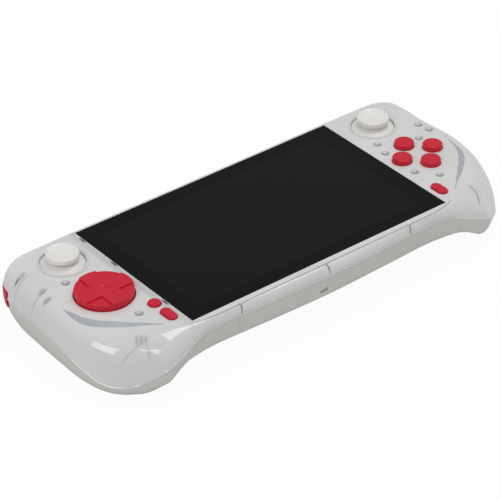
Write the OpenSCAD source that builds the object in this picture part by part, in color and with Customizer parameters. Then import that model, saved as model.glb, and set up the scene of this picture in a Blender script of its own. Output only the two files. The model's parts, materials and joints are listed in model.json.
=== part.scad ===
// Handheld game console with two shells, a wide screen, two thumb sticks and grips.
// Sizes are in millimetres. The console lies on its back with the screen facing up.
// X runs across the screen, Y towards its top edge, Z out of the screen.

/* [Screen] */
// Black border of the glass beyond the panel's sides
border_x = 6.65; // [6:0.05:8]
// Black border of the glass beyond the panel's upper and lower edges
border_y = 4.1; // [3.8:0.05:5]
// Thickness of the cover glass
glass_t = 1.2; // [1:0.1:1.4]
// Gap round the glass in its pocket
glass_gap = 0.15; // [0.1:0.05:0.25]
// Thickness of the glass adhesive
adhesive_t = 0.3; // [0.2:0.05:0.4]
// Width of the display panel
panel_w = 164; // [158:0.5:166]
// Height of the display panel
panel_h = 97; // [92:0.5:98]
// Thickness of the display panel
panel_t = 2.1; // [1.6:0.1:2.1]
// Gap round the display panel in its window
panel_gap = 0.5; // [0.3:0.1:0.8]

/* [Body] */
// Reach of each side beyond the glass
wing_w = 56.35; // [56:0.05:58]
// Rim between the glass and the top edge
top_rim = 1.6; // [1.4:0.1:2.4]
// Rim between the glass and the bottom edge, at the middle
bottom_rim = 7.4; // [6.8:0.1:9]
// Reach of the grips below the bottom edge
grip_drop = 3; // [2:0.25:4]
// Depth from the rear pads to the front face
body_d = 35; // [34:0.5:38]
// Depth of the flat middle
slab_d = 21.5; // [20.5:0.25:22]
// Height of the grips above the table
grip_lift = 0.8; // [0.5:0.1:1.5]
// Depth of the wings along the top edge
upper_d = 26; // [25:0.25:28]
// Thickness of the shell walls
wall = 2; // [1.6:0.1:2.2]
// Depth of the parting line along the middle
mid_rim_d = 6; // [5.5:0.25:7]
// Depth of the parting line along the sides
side_rim_d = 13; // [12:0.25:14]
// Depth of the parting line at the ends of the grips
grip_rim_d = 26.5; // [25:0.25:27]
// Gap between the shells at the parting line
seam = 0.12; // [0.05:0.01:0.2]
// Overhang of the front shell at the parting line
lip = 0.4; // [0.2:0.05:0.8]
// Rounding of the rear edge along the middle
mid_round = 4; // [3:0.25:5]
// Rounding of the rear edge along the sides
side_round = 10; // [9:0.25:10]
// Rounding of the rear edge at the ends of the grips
grip_round = 6.5; // [6:0.25:7]
// Greatest drop of the crescent step beside the grips
crescent_drop = 1.8; // [1.5:0.1:2]
// Drop of the fine step along the bottom rim
rim_step = 0.5; // [0.2:0.05:0.7]

/* [Rear pads] */
// Distance from the glass edge to the middle of each pad
pad_in = 34; // [32:0.5:36]
// Half width of each pad, slopes included
pad_rx = 26; // [24:0.5:27]
// Half height of each pad, slopes included
pad_ry = 44; // [42:0.5:45]
// Height of the pads' middle above the screen's middle
pad_y = 8; // [6:0.5:10]

/* [Sticks] */
// Distance from the glass edge to the stick's middle
stick_in = 21.45; // [21:0.05:23]
// Distance from the top edge to the stick's middle
stick_down = 20.1; // [20:0.1:21]
// Radius of the stick opening
stick_hole_r = 13; // [13:0.1:13.6]
// Width of the raised ring round the opening
stick_ring_w = 1.3; // [1:0.1:1.6]
// Height of the raised ring
stick_ring_h = 0.5; // [0.4:0.05:0.6]
// Radius of the thumb cap
stick_cap_r = 9.5; // [9:0.1:9.6]
// Height of the thumb cap above the front face
stick_top = 6.9; // [6.4:0.1:7.2]
// Radius of the skirt under the cap
skirt_r = 12.2; // [12:0.1:12.3]
// Depth of the tilt axes below the front face
stick_pivot_d = 7.5; // [7.3:0.1:7.7]
// Radius of the stick's post
post_r = 1.6; // [1.4:0.1:1.8]
// Radius of the stick's tilt axles
axle_r = 1; // [0.8:0.05:1.1]
// Running clearance of pins and axles
run_gap = 0.06; // [0.03:0.01:0.08]
// Travel of the stick's click
click_travel = 0.5; // [0.3:0.1:0.5]

/* [Direction pad] */
// Drop from the stick's middle to the pad's middle
dpad_drop = 38.1; // [37:0.1:39]
// Radius of the direction pad
dpad_r = 16.25; // [15.5:0.05:16.5]
// Gap round the direction pad
dpad_gap = 0.55; // [0.45:0.05:0.7]
// Height of the pad's cross above the front face
dpad_top = 4; // [3.6:0.1:4.3]
// Depth of the four recesses beside the cross
dpad_recess = 0.8; // [0.5:0.1:1]
// Width of the arms of the cross
dpad_arm_w = 11; // [8:0.1:12]

/* [Buttons] */
// Radius of the face buttons
face_r = 5.75; // [5.2:0.05:6]
// Distance from the middle of the diamond to each face button
face_reach = 11.5; // [11:0.1:12]
// Drop from the stick's middle to the diamond's middle
face_drop = 39.1; // [38:0.1:40]
// Height of the face buttons above the front face
face_top = 2.9; // [2.4:0.1:3.2]
// Travel of the face buttons
face_travel = 1.2; // [0.8:0.1:1.2]
// Gap round every button
button_gap = 0.25; // [0.2:0.05:0.35]
// Distance from the glass edge to the small buttons
small_in = 6.35; // [6.2:0.05:6.6]
// Radius of the small round button
small_r = 3.6; // [3.2:0.1:3.7]
// Width of the small oval buttons
oval_w = 6; // [5:0.1:6.4]
// Length of the small oval buttons
oval_l = 11.3; // [10:0.1:12]
// Drop from the direction pad to the small round button
small_drop = 24; // [23.5:0.1:24.5]
// Drop from the small round button to the oval button
oval_drop = 12.5; // [12:0.1:13]
// Height of the small buttons above the front face
small_top = 1.2; // [0.8:0.1:1.6]
// Travel of the small buttons
small_travel = 0.8; // [0.5:0.1:0.8]

/* [Shoulders] */
// Depth of the upper side of the bumpers
bumper_z0 = 8.6; // [8.4:0.1:8.8]
// Depth of the lower side of the bumpers
bumper_z1 = 18.7; // [18:0.1:18.8]
// Thickness of the bumpers
bumper_t = 4.5; // [4:0.1:5]
// Room behind the bumpers
bumper_room = 2.5; // [2.2:0.1:3]
// Gap round the bumpers and triggers
shoulder_gap = 0.3; // [0.25:0.05:0.4]
// Radius of the bumper pins
bumper_pin_r = 1.2; // [1:0.1:1.2]
// Width of the triggers
trigger_w = 34.5; // [33:0.5:35]
// Distance from the glass edge to the trigger
trigger_in = 11.5; // [11:0.1:12]
// Radius of the trigger pins
trigger_pin_r = 1; // [0.8:0.05:1.1]

/* [Boards] */
// Thickness of the boards
board_t = 1.2; // [1:0.1:1.4]
// Depth of the upper face of the control boards
board_d = 7; // [6.8:0.1:7.2]
// Thickness of the membranes
membrane_t = 1; // [0.8:0.1:1.1]
// Thickness of the mid frame
frame_t = 1; // [0.8:0.1:1.2]
// Depth of the upper face of the mid frame
frame_d = 3.6; // [3.6:0.1:3.9]
// Thickness of the battery
battery_t = 6; // [5:0.25:6]
// Width of the battery
battery_w = 72; // [60:1:80]
// Width of the main board
main_w = 64; // [60:0.5:64]
// Height of the main board
main_h = 90; // [88:0.5:92]

/* [Hidden] */
$fn = 64;

shell_colour = "WhiteSmoke";
rear_colour = "Gainsboro";
red_colour = "Crimson";
board_colour = "DarkGreen";
steel_colour = "Silver";
rubber_colour = "DimGray";
eps = 0.01;

// Places of the edges, measured from the screen's middle
gx = panel_w / 2 + border_x;
gy = panel_h / 2 + border_y;
grip_d = body_d - grip_lift;
top = gy + top_rim;
low = -(gy + bottom_rim);
grip_low = low - grip_drop;
side = gx + wing_w;
screen_y = -(top + grip_low) / 2;
stick_x = gx + stick_in;
stick_y = top - stick_down;
dpad_y = stick_y - dpad_drop;
face_y = stick_y - face_drop;
small_x = gx + small_in;
small_y = dpad_y - small_drop;
oval_y = small_y - oval_drop;
pad_x = gx + pad_in;

// Moves a piece from the screen's middle at the front face to its place above the table
module place() {
    translate([0, screen_y, body_d]) children();
}

module both_sides() {
    children();
    mirror([1, 0, 0]) children();
}

function smooth(t) = t <= 0 ? 0 : t >= 1 ? 1 : t * t * (3 - 2 * t);
function clamp(v, lo, hi) = min(max(v, lo), hi);

// Right half of the parting line with its depth, from the top middle round the grip to the bottom middle
rim_half = [
    [0, top, mid_rim_d], [gx * 0.5, top, mid_rim_d], [gx, top, mid_rim_d + 1.6],
    [side - 27.6, top, side_rim_d - 1], [side - 15.6, top - 0.8, side_rim_d - 1],
    [side - 6, top - 4.8, side_rim_d - 1], [side - 1.8, top - 13.7, side_rim_d - 0.6],
    [side - 0.8, top - 28.6, side_rim_d], [side, grip_low + 64, side_rim_d + 0.8],
    [side - 0.4, grip_low + 48, side_rim_d + 3.4], [side - 2.3, grip_low + 36, grip_rim_d - 5.5],
    [side - 5.2, grip_low + 26.6, grip_rim_d - 1.5], [side - 8.7, grip_low + 20, grip_rim_d],
    [side - 13.6, grip_low + 14.2, grip_rim_d], [side - 19.6, grip_low + 9.6, grip_rim_d - 1.5],
    [side - 26.4, grip_low + 4.4, grip_rim_d - 6], [side - 34.2, grip_low, grip_rim_d - 11.8],
    [gx + 12.4, low - 1.4, mid_rim_d + 6], [gx + 4.6, low + 0.4, mid_rim_d + 3],
    [gx - 4.2, low + 1.7, mid_rim_d + 0.4], [gx - 18, low + 2.4, mid_rim_d],
    [gx * 0.45, low + 1.1, mid_rim_d], [0, low, mid_rim_d]
];

// Right half of the plateau's edge with the drop below it, point by point with the parting line
plateau_half = [
    [0, top - 0.6, 0.05], [gx * 0.5, top - 0.6, 0.05], [gx, top - 0.6, 0.05],
    [side - 29.6, top - 0.7, 0.05], [side - 18.6, top - 1.6, 0.05], [side - 11, top - 7, 0.05],
    [side - 11.5, top - 16, 0.05], [side - 13, top - 31.5, 0.05], [side - 10, grip_low + 63.3, 0.1],
    [side - 11.8, grip_low + 55.5, crescent_drop * 0.75], [side - 13.5, grip_low + 49, crescent_drop],
    [side - 17.5, grip_low + 42.7, crescent_drop], [side - 21.8, grip_low + 37.8, crescent_drop * 0.92],
    [side - 26.4, grip_low + 33.2, crescent_drop * 0.84], [side - 30.7, grip_low + 29, crescent_drop * 0.68],
    [side - 34.8, grip_low + 25.2, crescent_drop * 0.48], [side - 39.1, grip_low + 21, crescent_drop * 0.25],
    [gx + 9.4, low + 11.2, 0.2], [gx + 2.9, low + 7, 0.3], [gx - 5, low + 4.8, rim_step * 0.9],
    [gx - 18, low + 4, rim_step], [gx * 0.45, low + 4, rim_step], [0, low + 4, rim_step]
];

function mirrored(p) = [for (i = [0 : len(p) - 1]) i == 0 ? -p[0] : p[i]];
function whole(half) = concat(half, [for (i = [len(half) - 2 : -1 : 1]) mirrored(half[i])]);

// Smooth closed curve through a list of points, at a place t counted in points
function curve_at(p, t) = let (
        n = len(p), i = floor(t), f = t - i,
        a = p[(i - 1 + n) % n], b = p[i % n], c = p[(i + 1) % n], d = p[(i + 2) % n])
    0.5 * (2 * b + (c - a) * f + (2 * a - 5 * b + 4 * c - d) * f * f + (3 * b - a - 3 * c + d) * f * f * f);

steps = 2;
rim_loop = whole(rim_half);
plateau_loop = whole(plateau_half);
count = len(rim_loop) * steps;
function rim_at(t) = let (p = curve_at(rim_loop, t)) [p[0], p[1]];
function rim_depth(t) = curve_at(rim_loop, t)[2];
function plateau_at(t) = curve_at(plateau_loop, t);
function outward(t) = let (d = rim_at(t + 0.05) - rim_at(t - 0.05 + len(rim_loop))) [-d[1], d[0]] / norm(d);
samples = [for (i = [0 : count - 1]) i / steps];

// How far a place lies into the wings: 0 along the middle, 1 along the grips
function wing(p) = smooth((abs(p[0]) - (gx - 10) - clamp(-0.5 * (p[1] + 24), 0, 18)) / 30);
function wing_round(y) = grip_round + (side_round - grip_round) * smooth((y - grip_low - 25) / 35);
function rounding(p) = mid_round + (wing_round(p[1]) - mid_round) * wing(p);

// Depth of the rear surface below the front face
pad_flat = 0.55;
function pad_reach(x, y) = pow(
    pow(abs(abs(x) - pad_x) / pad_rx, 2.5) + pow(abs(y - pad_y) / pad_ry, 2.5), 1 / 2.5);
function pad_share(x, y) = 1 - smooth((pad_reach(x, y) - pad_flat) / (1 - pad_flat));
function wing_depth(y) = upper_d + (grip_d - upper_d) * smooth((top - 9 - y) / 30);
function rear_base(x, y) = slab_d + (wing_depth(y) - slab_d) * wing([x, y]);
function rear_depth(x, y) = let (base = rear_base(x, y)) base + (body_d - base) * pad_share(x, y);

// Foot of the small step that bounds the plateau: a deep step leans out further than a shallow one
step_toe = 0.3;
step_lean = 0.6;
step_flare = 0.77;
function step_foot(t) = let (
        q = plateau_at(t), p = rim_at(t), to = p - [q[0], q[1]])
    [q[0], q[1]] + to / norm(to) * min(step_toe + q[2] * (step_lean + step_flare * q[2]), norm(to) * 0.6);

// Point of the front skin at a share u of the way from the step's foot to the parting line, set in by a wall
function front_skin(t, u, inset) = let (
        foot = step_foot(t) - inset * outward(t), edge = rim_at(t) - inset * outward(t),
        z0 = -plateau_at(t)[2] - inset, z1 = -rim_depth(t),
        p = foot + (edge - foot) * sin(90 * u))
    [p[0], p[1], z0 + (z1 - z0) * (1 - cos(90 * u))];

// Point of the rear skin at a share v of the way from the parting line to the rear surface
function rear_edge(t) = let (p = rim_at(t)) p - (rounding(p) + lip) * outward(t);
function rear_skin(t, v, inset) = let (
        p = rim_at(t), n = outward(t), e = rear_edge(t),
        z0 = -rim_depth(t) - seam, z1 = -rear_depth(e[0], e[1]) + inset,
        q = p - (lip + inset + (rounding(p) - inset) * (1 - cos(90 * v))) * n)
    [q[0], q[1], z0 + (z1 - z0) * sin(90 * v)];

// Point of the rear surface at a share s of the way from the spine to its edge
spine = 60;
function rear_floor(t, s, inset) = let (
        e = rear_edge(t), c = [clamp(e[0], -spine, spine), 0], p = c + (e - c) * s)
    [p[0], p[1], -rear_depth(p[0], p[1]) + inset];

plateau_inset = 0.5;
front_rings = concat(
    [[for (t = samples) let (q = plateau_at(t)) [q[0], q[1], 0]]],
    [for (u = [0 : 0.2 : 1]) [for (t = samples) front_skin(t, u, 0)]],
    [for (u = [1 : -0.25 : 0]) [for (t = samples) front_skin(t, u, wall)]],
    [[for (t = samples) let (q = plateau_at(t), n = outward(t))
        [q[0] - (wall + plateau_inset) * n[0], q[1] - (wall + plateau_inset) * n[1], -wall]]]);

rear_steps = [0.14, 0.24, 0.38, 0.47, 0.55, 0.63, 0.71, 0.79, 0.87, 0.94];
floor_steps = [0.14, 0.4, 0.52, 0.64, 0.76, 0.9];
mouth = 3;
rim_more = 0.4;
rear_outer_rings = concat(
    [[for (t = samples) rear_skin(t, 0, wall + rim_more)]],
    [for (v = [0 : 0.2 : 1]) [for (t = samples) rear_skin(t, v, 0)]],
    [for (k = [len(rear_steps) - 1 : -1 : 0]) [for (t = samples) rear_floor(t, rear_steps[k], 0)]]);
rear_inner_rings = concat(
    [[for (t = samples) rear_skin(t, 0, wall) + [0, 0, mouth]]],
    [for (v = [0.06, 0.3, 0.65, 1]) [for (t = samples) rear_skin(t, v, wall)]],
    [for (k = [len(floor_steps) - 1 : -1 : 0]) [for (t = samples) rear_floor(t, floor_steps[k], wall)]]);

// Closed solid through a list of rings with equal numbers of points, closed by a fan at each end
function middle(ring) = [for (r = ring) 1] * ring / len(ring);
module loft(rings) {
    n = len(rings[0]);
    last = len(rings) - 1;
    first_tip = (last + 1) * n;
    polyhedron(
        points = concat([for (r = rings) for (p = r) p], [middle(rings[0]), middle(rings[last])]),
        faces = [
            for (i = [0 : n - 1]) let (j = (i + 1) % n) each concat(
                [[first_tip, i, j], [first_tip + 1, last * n + j, last * n + i]],
                [for (r = [0 : last - 1]) each [
                    [r * n + i, (r + 1) * n + i, (r + 1) * n + j], [r * n + i, (r + 1) * n + j, r * n + j]]])],
        convexity = 10);
}

module block(x0, x1, y0, y1, z0, z1) {
    translate([x0, y0, z0]) cube([x1 - x0, y1 - y0, z1 - z0]);
}

module rod(x, y, z0, z1, r) {
    translate([x, y, z0]) cylinder(h = z1 - z0, r = r);
}

module rod_x(x0, x1, y, z, r) {
    translate([x0, y, z]) rotate([0, 90, 0]) cylinder(h = x1 - x0, r = r);
}

module rod_y(x, y0, y1, z, r) {
    translate([x, y0, z]) rotate([-90, 0, 0]) cylinder(h = y1 - y0, r = r);
}

module oval(w, l) {
    square([w, l - w], center = true);
    translate([0, (l - w) / 2]) circle(d = w);
    translate([0, -(l - w) / 2]) circle(d = w);
}

// Screws of the shells, along the glass and in the lower grips
screw_r = 1;
screw_head_r = 2.2;
screw_head_h = 1;
screw_gap = 0.05;
shell_boss_r = 2.2;
rib_w = 1.5;
boss_in = 0.35;
grip_boss_in = 27.4;
grip_boss_up = 19;
grip_boss_d = 4.6;
boss_top = 10.6;
boss_bottom = 5.6;
boss_gap = 1;
screw_grip = 3;
shell_screws_at = [
    [gx - boss_in, gy - boss_top, wall + 1], [gx - boss_in, -gy + boss_bottom, wall + 1],
    [gx + grip_boss_in, grip_low + grip_boss_up, grip_boss_d]];

// Bosses that carry the control boards
board_boss_r = 2.2;
board_screw_r = 0.8;
left_bosses_at = [
    [-gx - 31.7, dpad_y + 20.9], [-gx - 17.8, dpad_y - 26], [-gx - 8.4, dpad_y + 20]];
right_bosses_at = [
    [gx + 10.4, face_y + 22], [gx + 33.4, face_y + 12], [gx + 7.6, face_y - 13.6], [gx + 16.6, face_y - 24.5]];
board_bosses_at = concat(left_bosses_at, right_bosses_at);

// Bumper pin, hinge ear and pocket
bumper_pin_in = 8.5;
bumper_pin_down = 6.2;
bumper_ear_r = 2.8;
bumper_pin_x = gx + bumper_pin_in;
bumper_pin_y = top - bumper_pin_down;
bumper_pin_z0 = 3.5;
bumper_pin_z1 = 21.5;
bumper_from = 2.22;
bumper_to = 6;
bumper_proud = 0.25;
pocket_more = 0.12;
pocket_steps = 22;

// Trigger pin, blade and well
trigger_x0 = gx + trigger_in;
trigger_x1 = trigger_x0 + trigger_w;
trigger_pin_y = top - 13.2;
trigger_pin_d = 23.5;
trigger_ear_r = 2.8;
trigger_ear_t = 3;
trigger_top_d = 20.6;
trigger_gap = 0.8;
well_wall = 1.5;
well_y0 = top - 19.2;
well_roof_d = 20.2;

// Ports and keys of the top edge
main_x0 = gx - border_x - main_w;
port_x = main_x0 + 22;
port_w = 9;
port_h = 3.2;
jack_x = main_x0 + 46;
jack_bore_r = 1.8;
jack_bore_l = 11.5;
jack_barrel_r = 2.9;
card_x = main_x0 + 9;
card_w = 14;
card_h = 1.8;
slot_gap = 0.2;
main_d = frame_d + frame_t + 1.4;
main_under_d = main_d + board_t;
port_end = top - 1;
power_x = -18;
power_w = 9;
volume_x = -45;
volume_w = 20;
key_h = 3;
key_d = 11.5;
key_end = top - 0.3;
key_flange = 1;
key_seat = top - 3.3;
volume_seat = top - 3.7;
key_board_y = top - 7;

// Speakers, motors and microphone
speaker_in = 31.35;
speaker_up = 27;
speaker_w = 14;
speaker_h = 10;
speaker_t = 5;
slot_w = 1.4;
speaker_d = rear_depth(gx + speaker_in - speaker_w / 2, grip_low + speaker_up - speaker_h / 2) - wall - 0.1;
motor_r = 6;
motor_h = 6;
mic_in = 5.4;
mic_up = 25.4;
mic_hole_r = 0.5;
notch_x = -4;
notch_w = 5.5;
notch_h = 2.5;
notch_d = 15;

module bumper_pocket() {
    t0 = bumper_from - pocket_more / 4;
    t1 = bumper_to + pocket_more;
    ts = [for (k = [0 : pocket_steps]) t0 + (t1 - t0) * k / pocket_steps];
    inner = [for (t = ts) rim_at(t) - (bumper_t + bumper_room) * outward(t)];
    outer = [for (k = [len(ts) - 1 : -1 : 0]) rim_at(ts[k]) + 6 * outward(ts[k])];
    translate([0, 0, -bumper_z1 - shoulder_gap])
        linear_extrude(bumper_z1 - bumper_z0 + 2 * shoulder_gap) polygon(concat(inner, outer));
    rod(bumper_pin_x, bumper_pin_y, -bumper_z1 - shoulder_gap, -bumper_z0 + shoulder_gap, bumper_ear_r + 0.6);
}

module trigger_well(grow) {
    block(trigger_x0 - trigger_gap - grow, trigger_x1 + trigger_gap + grow, well_y0 - grow, top + 10,
        -body_d - 10, -well_roof_d + grow);
}

module board_bosses() {
    for (p = board_bosses_at) rod(p[0], p[1], -board_d, -wall + eps, board_boss_r);
}

module shell_bosses() {
    for (p = shell_screws_at)
        both_sides() rod(p[0], p[1], -rear_depth(p[0], p[1]) + wall + boss_gap, -p[2], shell_boss_r);
}

module front_openings() {
    glass_pocket_d = glass_t + adhesive_t;
    pw = gx + glass_gap;
    ph = gy + glass_gap;
    block(-pw, pw, -ph, ph, -glass_pocket_d, 5);
    ww = panel_w / 2 + panel_gap;
    wh = panel_h / 2 + panel_gap;
    block(-ww, ww, -wh, wh, -10, 5);
    both_sides() rod(stick_x, stick_y, -wall - 2, 5, stick_hole_r);
    rod(-stick_x, dpad_y, -wall - 1, 5, dpad_r + dpad_gap);
    for (p = face_buttons_at) rod(p[0], p[1], -wall - 1, 5, face_r + button_gap);
    rod(-small_x, small_y, -wall - 1, 5, small_r + button_gap);
    both_sides() translate([small_x, oval_y, -wall - 1])
        linear_extrude(10) oval(oval_w + 2 * button_gap, oval_l + 2 * button_gap);
    rod(gx + mic_in, -gy + mic_up, -wall - 1, 5, mic_hole_r);
    for (p = board_bosses_at) rod(p[0], p[1], -board_d - 1, -wall - 1.5, board_screw_r + screw_gap);
    for (p = shell_screws_at) both_sides() rod(p[0], p[1], -body_d, -p[2] - screw_grip, screw_r + screw_gap);
    both_sides() {
        bumper_pocket();
        rod(bumper_pin_x, bumper_pin_y, -bumper_z0, -bumper_pin_z0 + 0.1, bumper_pin_r + screw_gap);
    }
}

module front_shell() color(shell_colour) place() difference() {
    union() {
        loft(front_rings);
        difference() {
            block(-gx - rib_w, gx + rib_w, -gy - rib_w, gy + top_rim / 2, -frame_d, -wall + 0.1);
            block(-panel_w / 2, panel_w / 2, -panel_h / 2, panel_h / 2, -10, 0);
        }
        both_sides() translate([stick_x, stick_y, -0.1]) difference() {
            cylinder(r = stick_hole_r + stick_ring_w, h = stick_ring_h + 0.1);
            translate([0, 0, -1]) cylinder(r = stick_hole_r, h = 5);
        }
        board_bosses();
        shell_bosses();
        both_sides() rod(bumper_pin_x, bumper_pin_y, -bumper_z0 + shoulder_gap, -wall + eps, bumper_ear_r);
    }
    front_openings();
}

module rear_openings() {
    both_sides() {
        bumper_pocket();
        trigger_well(0);
        rod(bumper_pin_x, bumper_pin_y, -bumper_pin_z1 - 0.1, -bumper_z1, bumper_pin_r + screw_gap);
        rod_x(trigger_x0 - trigger_gap - well_wall + 0.3, trigger_x1 + trigger_gap + well_wall + 5, trigger_pin_y,
            -trigger_pin_d, trigger_pin_r + screw_gap);
        for (k = [-2 : 2])
            translate([gx + speaker_in + k * 3, grip_low + speaker_up, -grip_d - 5])
                linear_extrude(10) oval(slot_w, speaker_h - 3);
    }
    for (p = shell_screws_at) both_sides() {
        rod(p[0], p[1], -body_d - 1, -slab_d + 6, screw_r + screw_gap);
        rod(p[0], p[1], -body_d - 1, -rear_depth(p[0], p[1]) + screw_head_h, screw_head_r + 0.2);
    }
    block(port_x - port_w / 2 - slot_gap, port_x + port_w / 2 + slot_gap, top - 6, top + 5,
        -main_under_d - port_h - slot_gap, -main_under_d + slot_gap);
    rod_y(jack_x, top - 6, top + 5, -main_under_d - jack_barrel_r, jack_barrel_r + slot_gap);
    block(card_x - card_w / 2 + 1, card_x + card_w / 2 - 1, top - 4, top + 5, -main_under_d - card_h + 0.2,
        -main_under_d - 0.2);
    for (k = [[power_x, power_w], [volume_x, volume_w]])
        block(k[0] - k[1] / 2 - button_gap, k[0] + k[1] / 2 + button_gap, top - 6, top + 5,
            -key_d - key_h / 2 - button_gap, -key_d + key_h / 2 + button_gap);
    block(notch_x - notch_w / 2, notch_x + notch_w / 2, low - 5, low + 2.6, -notch_d - notch_h / 2,
        -notch_d + notch_h / 2);
}

module rear_shell() color(rear_colour) place() difference() {
    loft(rear_outer_rings);
    difference() {
        loft(rear_inner_rings);
        both_sides() {
            trigger_well(well_wall);
            rod(bumper_pin_x, bumper_pin_y, -body_d, -bumper_z1 - shoulder_gap, bumper_ear_r);
        }
    }
    rear_openings();
}

module cover_glass() color("Black") place()
    block(-gx, gx, -gy, gy, -glass_t, 0);

module glass_adhesive() color(rubber_colour) place() difference() {
    block(-gx + 1, gx - 1, -gy + 1, gy - 1, -glass_t - adhesive_t, -glass_t);
    block(-panel_w / 2 - panel_gap, panel_w / 2 + panel_gap, -panel_h / 2 - panel_gap, panel_h / 2 + panel_gap,
        -5, 5);
}

module display_panel() color("DarkSlateGray") place()
    block(-panel_w / 2, panel_w / 2, -panel_h / 2, panel_h / 2, -glass_t - panel_t, -glass_t);

// Mid frame with standoffs for the main board and a tab for the key board
standoff_r = 2;
main_y0 = gy - 6.6 - main_h;
main_screws_at = [for (x = [4, main_w - 4]) for (y = [4, main_h - 13]) [main_x0 + x, main_y0 + y]];
key_tab_t = 1;
module mid_frame() color(steel_colour) place() difference() {
    union() {
        block(-panel_w / 2 - 3, panel_w / 2 + 3, -panel_h / 2 - 1, panel_h / 2 + 1, -frame_d - frame_t, -frame_d);
        for (p = main_screws_at) rod(p[0], p[1], -main_d, -frame_d - eps, standoff_r);
        block(volume_x - volume_w / 2, power_x + power_w / 2, key_board_y - board_t / 2 - key_tab_t,
            key_board_y - board_t / 2, -key_d - key_h, -frame_d - eps);
    }
    for (p = main_screws_at) rod(p[0], p[1], -main_d - 1, -frame_d - 0.3, board_screw_r + screw_gap);
}

module main_board() color(board_colour) place() difference() {
    block(main_x0, main_x0 + main_w, main_y0, main_y0 + main_h, -main_under_d, -main_d);
    for (p = main_screws_at) rod(p[0], p[1], -20, 0, board_screw_r + screw_gap);
}

shield_w = 32;
shield_t = 2;
shield_x = 34;
shield_y = 5;
spreader_w = 56;
spreader_h = 56;
spreader_t = 0.8;
module processor_shield() color(steel_colour) place()
    translate([main_x0 + shield_x, shield_y, -main_under_d - shield_t / 2])
        cube([shield_w, shield_w, shield_t], center = true);

module heat_spreader() color("Peru") place()
    translate([main_x0 + shield_x, shield_y - 5, -main_under_d - shield_t - spreader_t / 2])
        cube([spreader_w, spreader_h, spreader_t], center = true);

battery_in = 8.65;
battery_gap = 6;
battery_x0 = -gx + battery_in;
module battery() color("DarkSlateBlue") place()
    block(battery_x0, main_x0 - battery_gap, -battery_w / 2, battery_w / 2, -frame_d - frame_t - battery_t,
        -frame_d - frame_t);

// Control boards with openings for the stick modules
control_in = 2.7;
control_out = 38.5;
control_top = 9.4;
control_low = 6.6;
base_r = 9;
base_gap = 0.3;
control_outline = [
    [gx + control_in, top - control_top], [gx + control_out, top - control_top], [gx + control_out, dpad_y - 10],
    [gx + 29.4, dpad_y - 20], [gx + 11.5, dpad_y - 38], [gx + 11.5, -gy + control_low],
    [gx + control_in, -gy + control_low]];
module control_board(bosses) difference() {
    translate([0, 0, -board_d - board_t]) linear_extrude(board_t) polygon(control_outline);
    rod(stick_x, stick_y, -20, 0, base_r + base_gap);
    for (p = bosses) rod(abs(p[0]), p[1], -20, 0, board_screw_r + screw_gap);
}

module left_control_board() color(board_colour) place() mirror([1, 0, 0]) control_board(left_bosses_at);
module right_control_board() color(board_colour) place() control_board(right_bosses_at);

// Flat cables between the control boards and the main board
ribbon_t = 0.3;
ribbon_w = 10;
ribbon_y = main_y0 + 6;
ribbon_d = frame_d + frame_t + battery_t + 0.6;
board_under_d = board_d + board_t;
module ribbon(path, y) {
    n = len(path);
    lower = [for (i = [n - 1 : -1 : 0]) path[i] - [0, ribbon_t]];
    translate([0, y + ribbon_w, 0]) rotate([90, 0, 0]) linear_extrude(ribbon_w) polygon(concat(path, lower));
}
module left_ribbon() color("Orange") place() ribbon([
    [-gx - control_in - 6, -board_under_d], [-gx - control_in - 2, -board_under_d], [-gx + 2, -ribbon_d],
    [main_x0 - 5, -ribbon_d], [main_x0 + 1, -main_under_d], [main_x0 + 6, -main_under_d]], ribbon_y);
module right_ribbon() color("Orange") place() ribbon([
    [main_x0 + main_w - 5, -main_under_d], [main_x0 + main_w - 1, -main_under_d], [gx - 3, -board_under_d - 1],
    [gx + control_in + 1, -board_under_d], [gx + control_in + 4, -board_under_d]], ribbon_y);

// Stick module: base, gimbal ring, shaft and cap, set round the crossing of the tilt axes
base_top = 2.3;
base_bottom = 7.7;
base_wall = 1.4;
flange_half = 9.9;
ring_r = 6.6;
ring_bore = 4.4;
ring_half = 1.3;
hub_r = 3.2;
axle_end = 8.6;
shaft_axle_end = 6.2;
stub = 4;
post_room = 0.1;
module at_stick() {
    place() translate([stick_x, stick_y, -stick_pivot_d]) children();
}
module stick_base() color(rubber_colour) at_stick() difference() {
    flange_z = stick_pivot_d - board_under_d;
    union() {
        translate([0, 0, -base_bottom]) cylinder(r = base_r, h = base_bottom + base_top);
        translate([-flange_half, -flange_half, flange_z - 1.2]) cube([2 * flange_half, 2 * flange_half, 1.2]);
        translate([base_r - 1, -5, -base_bottom]) cube([4.5, 10, base_bottom + flange_z - 1]);
        translate([-5, -base_r - 3.5, -base_bottom]) cube([10, 4.5, base_bottom + flange_z - 1]);
    }
    translate([0, 0, -base_bottom + base_wall]) cylinder(r = base_r - base_wall, h = 30);
    rod_x(-base_r - 1, base_r + 1, 0, 0, axle_r + run_gap);
}
module stick_ring() color(steel_colour) at_stick() difference() {
    union() {
        translate([0, 0, -ring_half]) cylinder(r = ring_r, h = 2 * ring_half);
        rod_x(-axle_end, axle_end, 0, 0, axle_r);
    }
    translate([0, 0, -5]) cylinder(r = ring_bore, h = 10);
    rod_y(0, -ring_r - 1, ring_r + 1, 0, axle_r + run_gap);
}
post_top = stick_pivot_d + 2;
module stick_shaft() color(steel_colour) at_stick() {
    sphere(r = hub_r);
    rod_y(0, -shaft_axle_end, shaft_axle_end, 0, axle_r);
    rod(0, 0, -stub, post_top, post_r);
}
cap_t = 3.4;
cap_edge = 1.7;
cap_dish = 1.1;
neck_r = 5;
skirt_t = 1.2;
socket_r = 3.2;
skirt_low = stick_pivot_d - 1.2;
skirt_high = stick_pivot_d + 2.2;
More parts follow.
